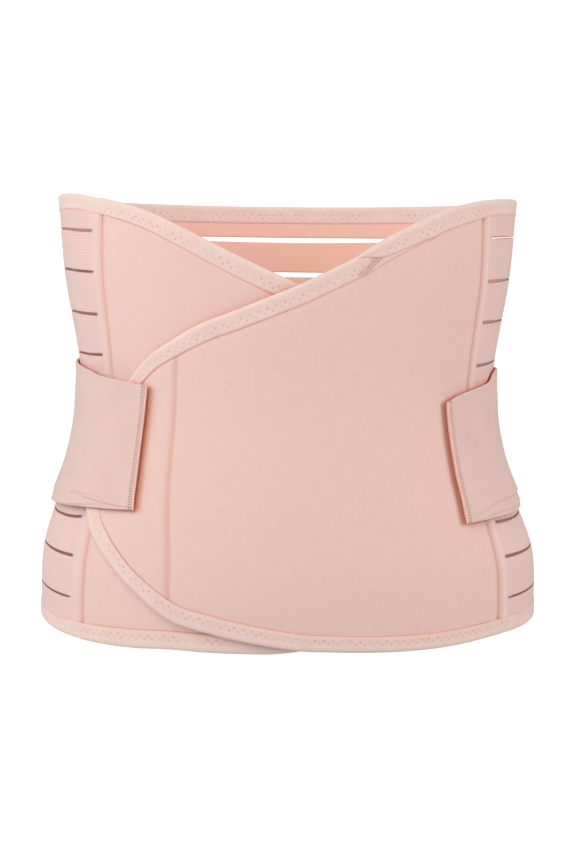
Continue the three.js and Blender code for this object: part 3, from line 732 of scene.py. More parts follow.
def back_web():
    strip = np.array(STRIP_COLUMNS) * STRIP_SHARE
    middle = np.linspace(STRIP_SHARE, 1 - STRIP_SHARE, WEB_COLUMNS)
    share = np.concatenate([strip, middle[1:-1], 1 - strip[::-1]])
    height, bands, slits = web_bands(share)
    drawn_in = LOW_END_DRAW * hump(share[:, None], 1 - STRIP_SHARE, LOW_END_WIDTH)
    angle = web_angle(share[:, None], height) - drawn_in * (1 - smoothstep(*LOW_END_REACH, height))
    is_strip = (share[:-1] < STRIP_SHARE - 1e-6) | (share[1:] > 1 - STRIP_SHARE + 1e-6)
    is_new_band = bands[1:] != bands[:-1]
    kept = is_strip[:, None] | ~is_new_band
    at_cut = np.append(True, is_new_band) | np.append(is_new_band, True)
    from_seam = np.minimum(share, 1 - share)[:, None] * WEB_SPAN * DEGREE
    in_strip = 1 - smoothstep(*STRIP_REACH, from_seam)

    cut_round = CUT_ROUNDING * at_cut * (1 - in_strip)
    seam_round = SEWN_ROUNDING * edge_rounding(from_seam, WEB_THICKNESS)
    waves = ripple(height, 0 * height, STRIP_PUCKER_LENGTH, STRIP_PUCKER_SEED)
    pucker = STRIP_PUCKER * in_strip * waves
    bulge = STRIP_BULGE * hump(from_seam, *STRIP_BULGE_SPOT)
    outer = WEB_THICKNESS + bulge + pucker - cut_round - seam_round
    inner = cut_round + seam_round

    shade = slit_shade(angle, height, bands, slits, at_cut, from_seam, in_strip)
    flank = 1 - smoothstep(*FLANK_RIGHT_REACH, angle) + smoothstep(*FLANK_LEFT_REACH, angle)
    dim = FLANK_SHADE * flank * (1 - smoothstep(*FLANK_TOP_REACH, height))
    fade = faded(height, **LOW_RIBS) * faded(angle, **RIGHT_RIBS)
    marks = dict(
        rib_weight=(1 - in_strip) * ~at_cut * fade,
        rib_crest=np.where(np.arange(len(bands)) % 2 == 0, 1.0, -1.0)[None, :],
        # Marks the inner face for its painted shade
        inside=np.array([[[1.0, 0.0]]]),
        shade=np.stack([np.maximum(shade, dim), shade], axis=2),
        # Painted shade along the seam
        groove_shade=hump(from_seam, *SEAM_SHADE_SPOT),
        # Painted highlight on the strip's ridge, stronger on the right
        ridge=hump(from_seam, *RIDGE_HIGHLIGHT_SPOT) * np.where(angle < 180, RIDGE_HIGHLIGHT_RIGHT, RIDGE_HIGHLIGHT_LEFT),
    )
    piece = cloth_piece("elastic_back_web", angle, height, inner, outer, marks, kept=kept)
    normals = outward(angle, height)
    vector_attribute(piece, "rib_out", np.stack([-normals, normals], axis=2))
    return piece


# Edge tape

def panel_route(panel, side, turns):
    lines = panel_lines(panel, np.linspace(0, 1, ROUTE_POINTS))
    return lines[side + "_angle"] + 360 * turns, lines[side + "_height"]


def tape_route():
    """Closed route of the tape, with what it wraps: its angle, height, share of the over panel's
    lift, and the thickness of the cloth."""
    inside = np.linspace(STRIP_SHARE / 2, 1 - STRIP_SHARE / 2, WEB_ROUTE_POINTS)
    legs = [
        (*(part[::-1] for part in panel_route(OVER_PANEL, "top", 0)), 1, PANEL_THICKNESS),
        (*web_edge(inside, "top"), 0, WEB_THICKNESS),
        (*panel_route(UNDER_PANEL, "top", 1), 0, PANEL_THICKNESS),
        (*(part[::-1] for part in panel_route(UNDER_PANEL, "low", 1)), 0, PANEL_THICKNESS),
        (*(part[::-1] for part in web_edge(inside, "hem")), 0, WEB_THICKNESS),
        (*panel_route(OVER_PANEL, "low", 0), 1, PANEL_THICKNESS),
    ]
    return np.concatenate([np.stack(np.broadcast_arrays(*leg), axis=-1) for leg in legs])


def sampled(place, at, stations):
    """Stations at other places along the way."""
    return np.stack([np.interp(place, at, column) for column in stations.T], axis=-1)


def even_steps(route, step):
    """The route at even steps of true length, opened at the tape's joint, with an overlap."""
    start = int(np.argmax(route[:, 0] > TONGUE["angle"][0]))
    stop = int(np.argmax(route[:, 0] > TONGUE["angle"][-1] + TONGUE_OVERLAP))
    opened = np.concatenate([route[start:], route[:stop + 1]])
    points = body_point(opened[:, 0], opened[:, 1])
    gone = np.concatenate([[0], np.cumsum(np.linalg.norm(np.diff(points, axis=0), axis=1))])
    at = np.linspace(0, gone[-1], round(gone[-1] / step) + 1)
    stations = sampled(at, gone, opened)
    ease = hump(np.arange(-EASE_STEPS, EASE_STEPS + 1), 0, EASE_WIDTH)
    ease /= ease.sum()
    for column in (2, 3):
        edged = np.pad(stations[:, column], EASE_STEPS, mode="edge")
        stations[:, column] = np.convolve(edged, ease, mode="valid")
    return at, stations


def edge_frame(at, stations):
    """Steps inwards from the edge, in degrees and millimetres up, for one millimetre inset."""
    angle, height = stations[:, 0], stations[:, 1]
    turn, climb = (np.linalg.norm(step, axis=-1) for step in directions(angle, height))
    ahead = np.gradient(angle, at) * turn, np.gradient(height, at) * climb
    size = np.hypot(*ahead)
    return ahead[1] / size / turn, -ahead[0] / size / climb


def tape_surface(at, stations, inset, rise, is_outside):
    """Spots of the tape at an inset from the edge and a rise above the cloth's face."""
    step_angle, step_height = edge_frame(at, stations)
    angle = stations[:, 0] + step_angle * inset
    height = stations[:, 1] + step_height * inset
    inner = stations[:, 2] * over_lift(angle)
    lift = inner + stations[:, 3] - PANEL_SQUEEZE + rise if is_outside else inner - rise
    return angle, height, lift


def tape_reach(at, stations):
    """Width of the tape's legs, and their extra rise where the tape's upper end laps over."""
    end = TONGUE["angle"][-1]
    is_tongue = at <= at[np.argmax(stations[:, 0] > end + TONGUE_EASE)]
    angle = stations[is_tongue, 0]
    width = along(TAPE_REACH, "width", at)
    width[is_tongue] = along(TONGUE, "width", angle)
    extra = np.zeros_like(at)
    ease = 1 - smoothstep(end, end + TONGUE_EASE, angle)
    extra[is_tongue] = along(TONGUE, "rise", angle) * ease
    return width, extra


def tube_piece(name, points, uv):
    """Tube through rings of points, closed at both ends."""
    count, size = points.shape[:2]
    index = np.arange(count * size).reshape(count, size)
    ahead = np.roll(index, -1, axis=1)
    sides = np.stack([index[:-1], index[1:], ahead[1:], ahead[:-1]], axis=-1).reshape(-1, 4)
    faces = sides.tolist() + [index[0].tolist(), index[-1][::-1].tolist()]
    return new_piece(name, points, faces, uv)


def edge_tape(at, stations):
    width, extra = tape_reach(at, stations)
    scale = width / TAPE_WIDTH
    wave = TAPE_WAVE * np.cos(4 * np.pi * at / STITCH_PERIOD)
    wander = TAPE_WANDER * ripple(at, 0 * at, TAPE_WANDER_LENGTH, TAPE_WANDER_SEED)
    rings, places = [], []

    def add(inset, rise, is_outside):
        rings.append(lifted(*tape_surface(at, stations, inset, rise, is_outside)))
        places.append(inset / scale)

    for inset, rise in zip(LEG["inset"], LEG["rise"]):
        reach = inset * scale + wander * (inset / TAPE_WIDTH) ** 3
        add(reach, rise * TAPE_THICKNESS + extra + wave * hump(inset, *TAPE_WAVE_SPOT), True)
    for share, reach in zip(FOLD["share"], FOLD["reach"]):
        angle, height, outer = tape_surface(at, stations, reach - extra, TAPE_THICKNESS + extra, True)
        inner = tape_surface(at, stations, reach - extra, TAPE_THICKNESS + extra, False)[2]
        rings.append(lifted(angle, height, inner + (outer - inner) * share))
        places.append(np.zeros_like(at))
    for inset, rise in zip(LEG["inset"][::-1], LEG["rise"][::-1]):
        add(inset * scale, rise * TAPE_THICKNESS + extra, False)
    near, far = LEG_UNDERSIDE
    for inset, is_outside in ((far, False), (near, False), (near, True), (far, True)):
        add(inset * scale, LEG_CLEARANCE + extra, is_outside)
    points = np.stack(rings, axis=1)
    uv = np.stack([np.repeat(at[:, None], points.shape[1], 1), np.stack(places, axis=1)], axis=-1)
    piece = tube_piece("edge_binding", points, uv)
    # Painted shade along the tape's inner edge, over the first points of the outer leg
    groove_shade = np.zeros(points.shape[:2])
    groove_shade[:, :len(EDGE_SHADE)] = EDGE_SHADE
    point_attribute(piece, "groove_shade", groove_shade)
    _, step_height = edge_frame(at, stations)
    angle = stations[:, 0]
    plain = sum(
        smoothstep(start, full, angle) * (1 - smoothstep(fading, end, angle))
        for start, full, fading, end in PLAIN_TAPE
    )
    # Upper edges lie in real shadow, so their painted edge shade is lighter; sewn stretches show needle
    # holes
    for label, mark in (("upper", smoothstep(-0.5, 0.5, -step_height)), ("sewn", 1 - plain)):
        point_attribute(piece, label, mark[:, None] * np.ones_like(groove_shade))
    return piece


# Straps and hook tape

def strap_spots(strap, round_angle, above_low):
    """Angle round, height and lift of a strap's inner face, without its folds."""
    low, high, bow, lift, lean = (
        along(strap, column, round_angle) for column in ("low", "high", "bow", "lift", "lean")
    )
    climb = above_low / (high - low)
    lift = lift - lean * smoothstep(*LEAN_FROM, climb)
    return round_angle + bow * 4 * climb * (1 - climb), low + above_low, lift


def strap_length(strap, round_angle):
    return along(strap, "high", round_angle) - along(strap, "low", round_angle)


def strap_piece(name, strap, side, folds, seed, rim_highlight, weave_share):
    """A strap whose low margin steps back at each fold. Its fastened end has a painted highlight
    that fades over the given width, and the rest shows a share of the weave."""
    first, last = strap["round"][0], strap["round"][-1]
    tip = first + np.array(STRAP_TIP_COLUMNS)
    start = np.concatenate([tip, np.linspace(first + STRAP_COLUMNS_FROM, last, STRAP_COLUMNS)])[:, None]
    length = strap_length(strap, start)
    climb = np.concatenate([np.linspace(*rows) for rows in STRAP_MESH_ROWS])
    above_low = length * climb
    below_high = length - above_low
    round_angle, height, lift = strap_spots(strap, start, above_low)
    for fold in folds:
        line, depth = along(fold, "line", start), along(fold, "depth", start)
        lift = lift - depth * (1 - smoothstep(line - fold["width"], line, above_low))
    from_tip = (start - first) * DEGREE + 0 * height
    rounding = edge_rounding(np.minimum(above_low, below_high), STRAP_THICKNESS)
    rounding = np.maximum(rounding, SEWN_ROUNDING * edge_rounding(from_tip, STRAP_THICKNESS))
    pressed = STRAP_ROW_DEPTH * hump(from_tip, *STRAP_ROW_SPOT)
    pressed = pressed + STRAP_SELVEDGE * hump(below_high, *SELVEDGE_SPOT)
    waves = ripple(from_tip, height, STRAP_WAVE_LENGTH, seed)
    lift = lift + STRAP_WAVE * waves * smoothstep(*STRAP_WAVE_REACH, from_tip)
    marks = dict(
        # Painted highlight on the fastened end's edge
        rim_highlight=1 - smoothstep(rim_highlight / 4, rim_highlight, from_tip),
        sewn=np.max([hump(from_tip, row, STRAP_ROW_WIDTH) for row in STRAP_ROWS], axis=0),
        rib_weight=weave_share * smoothstep(*STRAP_WEAVE_REACH, from_tip),
    )
    outer = lift + STRAP_THICKNESS - rounding - pressed
    return cloth_piece(name, side * round_angle, height, lift + rounding, outer, marks, up=above_low)


def hook_piece(name, hook):
    """Hook tape laid on the over panel beneath a strap's end."""
    height = np.linspace(hook["height"][0], hook["height"][-1], HOOK_ROWS)[None, :]
    front = along(hook, "front", height)
    rear = along(hook, "rear", height)
    edge = np.array(HOOK_EDGE_COLUMNS)
    share = np.concatenate([edge, np.linspace(*HOOK_MIDDLE_COLUMNS), 1 - edge[::-1]])
    angle = front + (rear - front) * share[:, None]
    height = height + 0 * angle
    from_side = np.minimum(np.abs(angle - front), np.abs(angle - rear)) * DEGREE
    from_end = np.minimum(height - height.min(), height.max() - height)
    rounding = edge_rounding(np.minimum(from_side, from_end), HOOK_THICKNESS)
    base = over_lift(angle) + PANEL_THICKNESS + HOOK_GAP
    return cloth_piece(name, angle, height, base + rounding, base + HOOK_THICKNESS - rounding, {})


# Stitches: each run of them is its middles, its headings and its outward sides

def stitch_run(start, end, out):
    ahead = end - start
    return (start + end) / 2, ahead / np.linalg.norm(ahead, axis=-1, keepdims=True), out


def stitch_row(angle, height, lift):
    """A run of stitches, end to end, through points on the cloth."""
    points = lifted(angle, height, lift)
    start, end = points[:-1], points[1:]
    gap = (end - start) * STITCH_GAP
    return stitch_run(start + gap, end - gap, outward(np.asarray(angle), np.asarray(height))[:-1])


def tape_stitches(at, stations):
    """Zigzag stitches along the middle of the tape's outer leg."""
    tongue_length = at[np.argmax(stations[:, 0] > TONGUE["angle"][-1])]
    place = np.arange(tongue_length, at[-1] - ZIGZAG_END, STITCH_PERIOD / 2)
    swing = np.where(np.arange(len(place)) % 2 == 0, STITCH_SWING, -STITCH_SWING)
    inset = (STITCH_MIDDLE + swing) * along(TAPE_REACH, "width", place) / TAPE_WIDTH
    rise = TAPE_THICKNESS * ZIGZAG_RISE
    spot = tape_surface(place, sampled(place, at, stations), inset, rise, True)
    points = lifted(*spot)
    return [stitch_run(points[:-1], points[1:], outward(spot[0], spot[1])[:-1])]


def strap_stitches(strap, side):
    """Two close rows along the strap's fastened end."""
    runs = []
    for inset in STRAP_ROWS:
        start = strap["round"][0] + inset / DEGREE
        length = float(strap_length(strap, start))
        count = round(length / STRAP_STITCH_STEP)
        above_low = np.linspace(STRAP_ROW_MARGIN, length - STRAP_ROW_MARGIN, count)
        angle, height, lift = strap_spots(strap, start, above_low)
        runs.append(stitch_row(side * angle, height, lift + STRAP_THICKNESS - STRAP_ROW_DEPTH))
    return runs


def pleat_stitches(strap, side):
    """A short row just above the strap's pleat."""
    start = np.arange(*PLEAT_SPAN, PLEAT_STEP)
    angle, height, lift = strap_spots(strap, start, along(PLEAT_ROW, "above", start))
    return [stitch_row(side * angle, height, lift + STRAP_THICKNESS + PLEAT_RISE)]


def joint_stitches():
    """Two close rows across the tape, along the slanted end of the joint."""
    runs = []
    for shift in JOINT_ROWS:
        angle = np.linspace(*JOINT_LINE["angle"], JOINT_STITCHES) + shift
        height = np.linspace(*JOINT_LINE["height"], JOINT_STITCHES)
        zigzag = np.where(np.arange(JOINT_STITCHES) % 2 == 0, JOINT_SWING, -JOINT_SWING)
        runs.append(stitch_row(angle + zigzag, height, over_lift(angle) + PANEL_THICKNESS + JOINT_RISE))
    return runs


def channel_stitches(share):
    """The row at the bottom of the sewn channel in the over panel."""
    lines = panel_lines(OVER_PANEL, share)
    length = float(lines["top_height"] - lines["low_height"])
    low_end, high_end = CHANNEL_STITCH_ENDS
    climb = np.arange(low_end, length - high_end, CHANNEL_STITCH_STEP) / length
    angle, height = panel_spots(lines, climb)
    return [stitch_row(angle, height, over_lift(angle) + PANEL_THICKNESS - CHANNEL_STITCH_SINK)]


# Node makers

def fill(tree, node, links):
    """Links or sets a node's inputs, by name or place."""
    for socket, source in links.items():
        if isinstance(source, bpy.types.NodeSocket):
            tree.links.new(source, node.inputs[socket])
        else:
            node.inputs[socket].default_value = source
    return node


def wire(tree, kind, links=None, **settings):
    """Adds a node, sets its properties, and links or sets its inputs."""
    node = tree.nodes.new(kind)
    for name, value in settings.items():
        setattr(node, name, value)
    return fill(tree, node, links or {})


def node_group(name, kind, inputs, outputs):
    """New node group, and its input sockets as its nodes read them. Sockets have a name and a kind."""
    group = bpy.data.node_groups.new(name, kind)
    for way, sockets in (("INPUT", inputs), ("OUTPUT", outputs)):
        for label, socket in sockets.items():
            group.interface.new_socket(label, in_out=way, socket_type="NodeSocket" + socket)
    return group, wire(group, "NodeGroupInput").outputs


def math_node(tree, operation, *sources, clamp=False):
    node = wire(tree, "ShaderNodeMath", dict(enumerate(sources)), operation=operation, use_clamp=clamp)
    return node.outputs[0]


# Geometry nodes

def named(tree, name, kind):
    node = wire(tree, "GeometryNodeInputNamedAttribute", {"Name": name}, data_type=kind)
    return node.outputs["Attribute"]


def stitch_tree():
    """Lays one plump stitch on each point, along its heading and flat on the cloth."""
    tree, given = node_group("stitch_row", "GeometryNodeTree", {
        "Geometry": "Geometry", "Length": "Float", "Thickness": "Float", "Thread": "Material",
    }, {"Geometry": "Geometry"})
    turn = wire(tree, "FunctionNodeAxesToRotation", {
        "Primary Axis": named(tree, "heading", "FLOAT_VECTOR"),
        "Secondary Axis": named(tree, "out", "FLOAT_VECTOR"),
    }, primary_axis="X", secondary_axis="Z")
    size = wire(tree, "ShaderNodeCombineXYZ", {
        "X": given["Length"], "Y": given["Thickness"], "Z": given["Thickness"],
    })
    bead = wire(tree, "GeometryNodeMeshUVSphere", {"Segments": 8, "Rings": 6, "Radius": 0.5})
    points = wire(tree, "GeometryNodeMeshToPoints", {"Mesh": given["Geometry"]})
    laid = wire(tree, "GeometryNodeInstanceOnPoints", {
        "Points": points.outputs["Points"], "Instance": bead.outputs["Mesh"],
        "Rotation": turn.outputs["Rotation"], "Scale": size.outputs["Vector"],
    })
    real = wire(tree, "GeometryNodeRealizeInstances", {"Geometry": laid.outputs["Instances"]})
    smooth = wire(tree, "GeometryNodeSetShadeSmooth", {"Geometry": real.outputs["Geometry"]})
    dyed = wire(tree, "GeometryNodeSetMaterial", {
        "Geometry": smooth.outputs["Geometry"], "Material": given["Thread"],
    })
    wire(tree, "NodeGroupOutput", {"Geometry": dyed.outputs["Geometry"]})
    return tree


def rib_tree():
    """Raises the ribs of woven elastic by moving each point along its outward side."""
    tree, given = node_group("elastic_ribs", "GeometryNodeTree", {
        "Geometry": "Geometry", "Rib Height": "Float", "Cloth": "Material",
    }, {"Geometry": "Geometry"})
    rise = math_node(tree, "MULTIPLY", named(tree, "rib_crest", "FLOAT"), named(tree, "rib_weight", "FLOAT"))
    offset = wire(tree, "ShaderNodeVectorMath", {
        0: named(tree, "rib_out", "FLOAT_VECTOR"),
        "Scale": math_node(tree, "MULTIPLY", rise, given["Rib Height"]),
    }, operation="SCALE")
    moved = wire(tree, "GeometryNodeSetPosition", {
        "Geometry": given["Geometry"], "Offset": offset.outputs["Vector"],
    })
    real = wire(tree, "GeometryNodeRealizeInstances", {"Geometry": moved.outputs["Geometry"]})
    dyed = wire(tree, "GeometryNodeSetMaterial", {
        "Geometry": real.outputs["Geometry"], "Material": given["Cloth"],
    })
    wire(tree, "NodeGroupOutput", {"Geometry": dyed.outputs["Geometry"]})
    return tree


def grown(piece, tree, values):
    """Runs a node tree on a piece and keeps the result as its plain mesh."""
    modifier = piece.modifiers.new(tree.name, "NODES")
    modifier.node_group = tree
    sockets = {item.name: item.identifier for item in tree.interface.items_tree if item.in_out == "INPUT"}
    for label, value in values.items():
        modifier[sockets[label]] = value
    evaluated = piece.evaluated_get(bpy.context.evaluated_depsgraph_get())
    mesh = bpy.data.meshes.new_from_object(evaluated)
    piece.modifiers.remove(modifier)
    old = piece.data
    piece.data = mesh
    bpy.data.meshes.remove(old)
    mesh.name = piece.name
    return piece


def stitch_piece(name, tree, runs, thread, length, thickness):
    middle, heading, out = (np.concatenate(parts) for parts in zip(*runs))
    piece = new_piece(name, middle, [])
    vector_attribute(piece, "heading", heading)
    vector_attribute(piece, "out", out)
    return grown(piece, tree, {"Length": length * MM, "Thickness": thickness * MM, "Thread": thread})


# Materials

def shader_group(name, inputs, outputs):
    """Shader group with a place to read, and numbers in and out."""
    numbers = [dict.fromkeys(labels, "Float") for labels in (inputs, outputs)]
    return node_group(name, "ShaderNodeTree", {"Place": "Vector", **numbers[0]}, numbers[1])


def fuzz_group():
    """Brushed nap: fine fibres and a slow change of tone."""
    group, given = shader_group("brushed_nap", ["Fibre Scale", "Patch Scale"], ["Height", "Tone"])
    fine = wire(group, "ShaderNodeTexNoise", {
        "Vector": given["Place"], "Scale": given["Fibre Scale"], "Detail": 4.0, "Roughness": 0.65,
    }).outputs["Fac"]
    patch = wire(group, "ShaderNodeTexNoise", {
        "Vector": given["Place"], "Scale": given["Patch Scale"], "Detail": 3.0,
    }).outputs["Fac"]
    slow = math_node(group, "MULTIPLY", patch, PATCH_TONE)
    tone = math_node(group, "MULTIPLY_ADD", fine, FIBRE_TONE, slow)
    wire(group, "NodeGroupOutput", {"Height": fine, "Tone": tone})
    return group


def weave_group():
    """Woven ribs: ridges across one direction of the cloth, with yarns crossing them."""
    inputs = ["Rib Pitch", "Yarn Pitch", "Rib Share", "Yarn Share"]
    group, given = shader_group("woven_ribs", inputs, ["Height"])
    split = wire(group, "ShaderNodeSeparateXYZ", {"Vector": given["Place"]}).outputs
    across = math_node(group, "DIVIDE", split["Y"], given["Rib Pitch"])
    rib = math_node(group, "SINE", math_node(group, "MULTIPLY", across, 2 * math.pi))
    row = math_node(group, "MULTIPLY", math_node(group, "FLOOR", across), 0.5)
    along_yarn = math_node(group, "ADD", math_node(group, "DIVIDE", split["X"], given["Yarn Pitch"]), row)
    yarn = math_node(group, "SINE", math_node(group, "MULTIPLY", along_yarn, 2 * math.pi))
    ridge = math_node(group, "MULTIPLY_ADD", rib, given["Rib Share"], 0.5)
    height = math_node(group, "MULTIPLY_ADD", yarn, given["Yarn Share"], ridge)
    wire(group, "NodeGroupOutput", {"Height": height})
    return group


def hole_group():
    """Needle holes of a zigzag stitch: two rows of dots, half a period apart."""
    group, given = shader_group("needle_holes", ["Period", "Middle", "Swing", "Radius"], ["Mask"])
    split = wire(group, "ShaderNodeSeparateXYZ", {"Vector": given["Place"]}).outputs
    masks = []
    for side, shift in ((1.0, 0.0), (-1.0, 0.5)):
        steps = math_node(group, "ADD", math_node(group, "DIVIDE", split["X"], given["Period"]), shift)
        off = math_node(group, "SUBTRACT", steps, math_node(group, "ROUND", steps))
        along_row = math_node(group, "MULTIPLY", off, given["Period"])
        row = math_node(group, "MULTIPLY_ADD", given["Swing"], side, given["Middle"])
        across = math_node(group, "SUBTRACT", split["Y"], row)
        squares = [math_node(group, "MULTIPLY", way, way) for way in (along_row, across)]
        distance = math_node(group, "SQRT", math_node(group, "ADD", *squares))
        share = math_node(group, "DIVIDE", distance, given["Radius"])
        masks.append(math_node(group, "SUBTRACT", 1.0, share, clamp=True))
    wire(group, "NodeGroupOutput", {"Mask": math_node(group, "MAXIMUM", *masks)})
    return group


def new_material(name, roughness, sheen):
    material = bpy.data.materials.new(name)
    material.use_nodes = True
    tree = material.node_tree
    shader = fill(tree, tree.nodes["Principled BSDF"], {
        "Roughness": roughness, "Specular IOR Level": 0.18,
        "Sheen Weight": sheen, "Sheen Roughness": 0.55, "Sheen Tint": SHEEN,
    })
    return material, tree, shader


def placed(tree, group, place, **values):
    """Adds a shader group that reads a place, with its other inputs set by name."""
    links = {label.replace("_", " ").title(): value for label, value in values.items()}
    return wire(tree, "ShaderNodeGroup", {"Place": place, **links}, node_tree=group).outputs


def mixed(tree, share, low, high):
    """Colour between two others, which are sockets or constants. The node's sockets for colours
    are found by place, because others share their names."""
    low, high = (
        colour if isinstance(colour, bpy.types.NodeSocket) else (*colour, 1.0) for colour in (low, high)
    )
    return wire(tree, "ShaderNodeMix", {0: share, 6: low, 7: high}, data_type="RGBA").outputs[2]


def marked(tree, name, colour, mark_colour):
    """Colour that turns to another where the piece's attribute marks it."""
    mark = wire(tree, "ShaderNodeAttribute", attribute_name=name).outputs["Fac"]
    return mixed(tree, mark, colour, mark_colour)


def surfaced(tree, shader, colour, layers):
    """Gives a shader its colour, and bumps from a list of heights, each with its depth."""
    bump = {}
    for height, depth in layers:
        links = {"Height": height, "Strength": 1.0, "Distance": depth * MM, **bump}
        bump = {"Normal": wire(tree, "ShaderNodeBump", links).outputs["Normal"]}
    fill(tree, shader, {"Base Color": colour, **bump})


def crease_shaded(tree, colour):
    """Painted shade: a deeper colour where ambient occlusion finds neighbouring cloth close by."""
    occlusion = wire(tree, "ShaderNodeAmbientOcclusion", {"Distance": CREASE_SHADE_REACH * MM}, samples=8)
    return mixed(tree, stretched(tree, occlusion.outputs["AO"], CREASE_SHADE_SPREAD), CREASE_SHADE, colour)


def cloth_place(tree):
    return wire(tree, "ShaderNodeUVMap", uv_map="cloth").outputs["UV"]


def object_place(tree):
    return wire(tree, "ShaderNodeTexCoord").outputs["Object"]


def stretched(tree, value, spread):
    """Value spread from 0 to 1 over a stretch of it."""
    low, high = spread
    node = wire(tree, "ShaderNodeMapRange", {"Value": value, "From Min": low, "From Max": high})
    return node.outputs["Result"]


def panel_cloth(fuzz):
    """Brushed panel, with painted shade along its seam and channel and in front of the strap ends."""
    material, tree, shader = new_material("brushed_panel", roughness=0.95, sheen=0.35)
    nap = placed(tree, fuzz, object_place(tree), fibre_scale=1500.0, patch_scale=350.0)
    cloth = mixed(tree, stretched(tree, nap["Tone"], NAP_SPREAD), PANEL_DARK, PANEL_LIGHT)
    cloth = crease_shaded(tree, marked(tree, "groove_shade", cloth, GROOVE_SHADE))
    surfaced(tree, shader, marked(tree, "shade", cloth, PANEL_SHADE), [(nap["Height"], PANEL_NAP_DEPTH)])
    return material


def tape_cloth(fuzz, holes):
    """Soft tape with uneven needle holes where it is sewn, and painted shade along its inner edge,
    lighter on the upper edges, which lie in real shadow.
    """
    material, tree, shader = new_material("soft_tape", roughness=0.85, sheen=0.3)
    nap = placed(tree, fuzz, object_place(tree), fibre_scale=2600.0, patch_scale=90.0)
    cloth = mixed(tree, stretched(tree, nap["Tone"], TAPE_SPREAD), TAPE_DARK, TAPE_LIGHT)
    # Painted shade at the inner edge, lighter where the edge lies in real shadow
    cloth = crease_shaded(tree, marked(tree, "groove_shade", cloth, marked(tree, "upper", LOWER_EDGE_SHADE, UPPER_EDGE_SHADE)))
    dots = placed(tree, holes, cloth_place(tree), period=STITCH_PERIOD, middle=STITCH_MIDDLE,
                  swing=STITCH_SWING, radius=HOLE_RADIUS)
    uneven = wire(tree, "ShaderNodeTexNoise", {"Vector": object_place(tree), "Scale": 160.0, "Detail": 1.0})
    depth = math_node(tree, "MULTIPLY", dots["Mask"], stretched(tree, uneven.outputs["Fac"], HOLE_SPREAD))
    pierced = mixed(tree, depth, cloth, HOLE)
    surfaced(tree, shader, marked(tree, "sewn", cloth, pierced), [(nap["Height"], NAP_DEPTH)])
    return material


def elastic_cloth(name, fuzz, weave, dark, light, under, over, depth, **weaving):
    """Ribbed elastic with bumps of a depth. Its marks under and over the painted crease shade are
    given with their colours."""
    material, tree, shader = new_material(name, roughness=0.85, sheen=0.25)
    ribs = placed(tree, weave, cloth_place(tree), **weaving)
    nap = placed(tree, fuzz, object_place(tree), fibre_scale=2200.0, patch_scale=70.0)
    weight = wire(tree, "ShaderNodeAttribute", attribute_name="rib_weight").outputs["Fac"]
    raised = math_node(tree, "MULTIPLY", math_node(tree, "SUBTRACT", ribs["Height"], 0.5), weight)
    fuzzy = math_node(tree, "MULTIPLY_ADD", nap["Tone"], ELASTIC_NAP, ELASTIC_TONE)
    tone = math_node(tree, "ADD", raised, fuzzy)
    cloth = mixed(tree, stretched(tree, tone, WEAVE_SPREAD), dark, light)
    for mark, colour in under.items():
        cloth = marked(tree, mark, cloth, colour)
    cloth = crease_shaded(tree, cloth)
    for mark, colour in over.items():
        cloth = marked(tree, mark, cloth, colour)
    surfaced(tree, shader, cloth, [(raised, depth), (nap["Height"], NAP_DEPTH)])
    return material


def plain_cloth(name, fuzz, dark, light, roughness):
    material, tree, shader = new_material(name, roughness, sheen=0.2)
    nap = placed(tree, fuzz, object_place(tree), fibre_scale=3000.0, patch_scale=200.0)
    cloth = mixed(tree, stretched(tree, nap["Tone"], NAP_SPREAD), dark, light)
    surfaced(tree, shader, cloth, [(nap["Height"], NAP_DEPTH)])
    return material


# Stage

def seen_white(tree, output, given, seen):
    """Shows the camera one shader, and lights the wrap with the other."""
    path = wire(tree, "ShaderNodeLightPath")
    mix = wire(tree, "ShaderNodeMixShader", {
        0: path.outputs["Is Camera Ray"], 1: given.outputs[0], 2: seen.outputs[0],
    })
    fill(tree, tree.nodes[output], {"Surface": mix.outputs[0]})


def floor_paint():
    """Pale floor that the camera sees as plain white."""
    material = bpy.data.materials.new("pale_floor")
    material.use_nodes = True
    tree = material.node_tree
    shader = fill(tree, tree.nodes["Principled BSDF"], {"Base Color": FLOOR_COLOUR, "Roughness": 0.9})
    plain = wire(tree, "ShaderNodeEmission", {"Color": WHITE, "Strength": FLOOR_SEEN})
    seen_white(tree, "Material Output", shader, plain)
    return material


def backdrop():
    world = bpy.data.worlds.new("studio")
    world.use_nodes = True
    tree = world.node_tree
    given = fill(tree, tree.nodes["Background"], {"Color": WHITE, "Strength": BACKDROP})
    seen = wire(tree, "ShaderNodeBackground", {"Color": WHITE, "Strength": BACKDROP_SEEN})
    seen_white(tree, "World Output", given, seen)
    return world


def soft_box(name, place, size, watts, colour):
    light = bpy.data.lights.new(name, "AREA")
    light.shape = "SQUARE"
    light.color = colour
    light.size = size * MM
    light.energy = watts
    where = Matrix.Translation([value * MM for value in place])
    aim = where.to_translation().to_track_quat("Z", "Y").to_matrix().to_4x4()
    linked(name, light).matrix_world = where @ aim


def floor_and_light():
    half, level = FLOOR_HALF, -FLOOR_DROP
    corners = [(-half, -half, level), (half, -half, level), (half, half, level), (-half, half, level)]
    floor = new_piece("floor", corners, [(0, 1, 2, 3)])
    floor.data.materials.append(floor_paint())
    bpy.context.scene.world = backdrop()
    bpy.context.scene.view_settings.view_transform = "Standard"
    for name, light in LIGHTS.items():
        soft_box(name, **light)


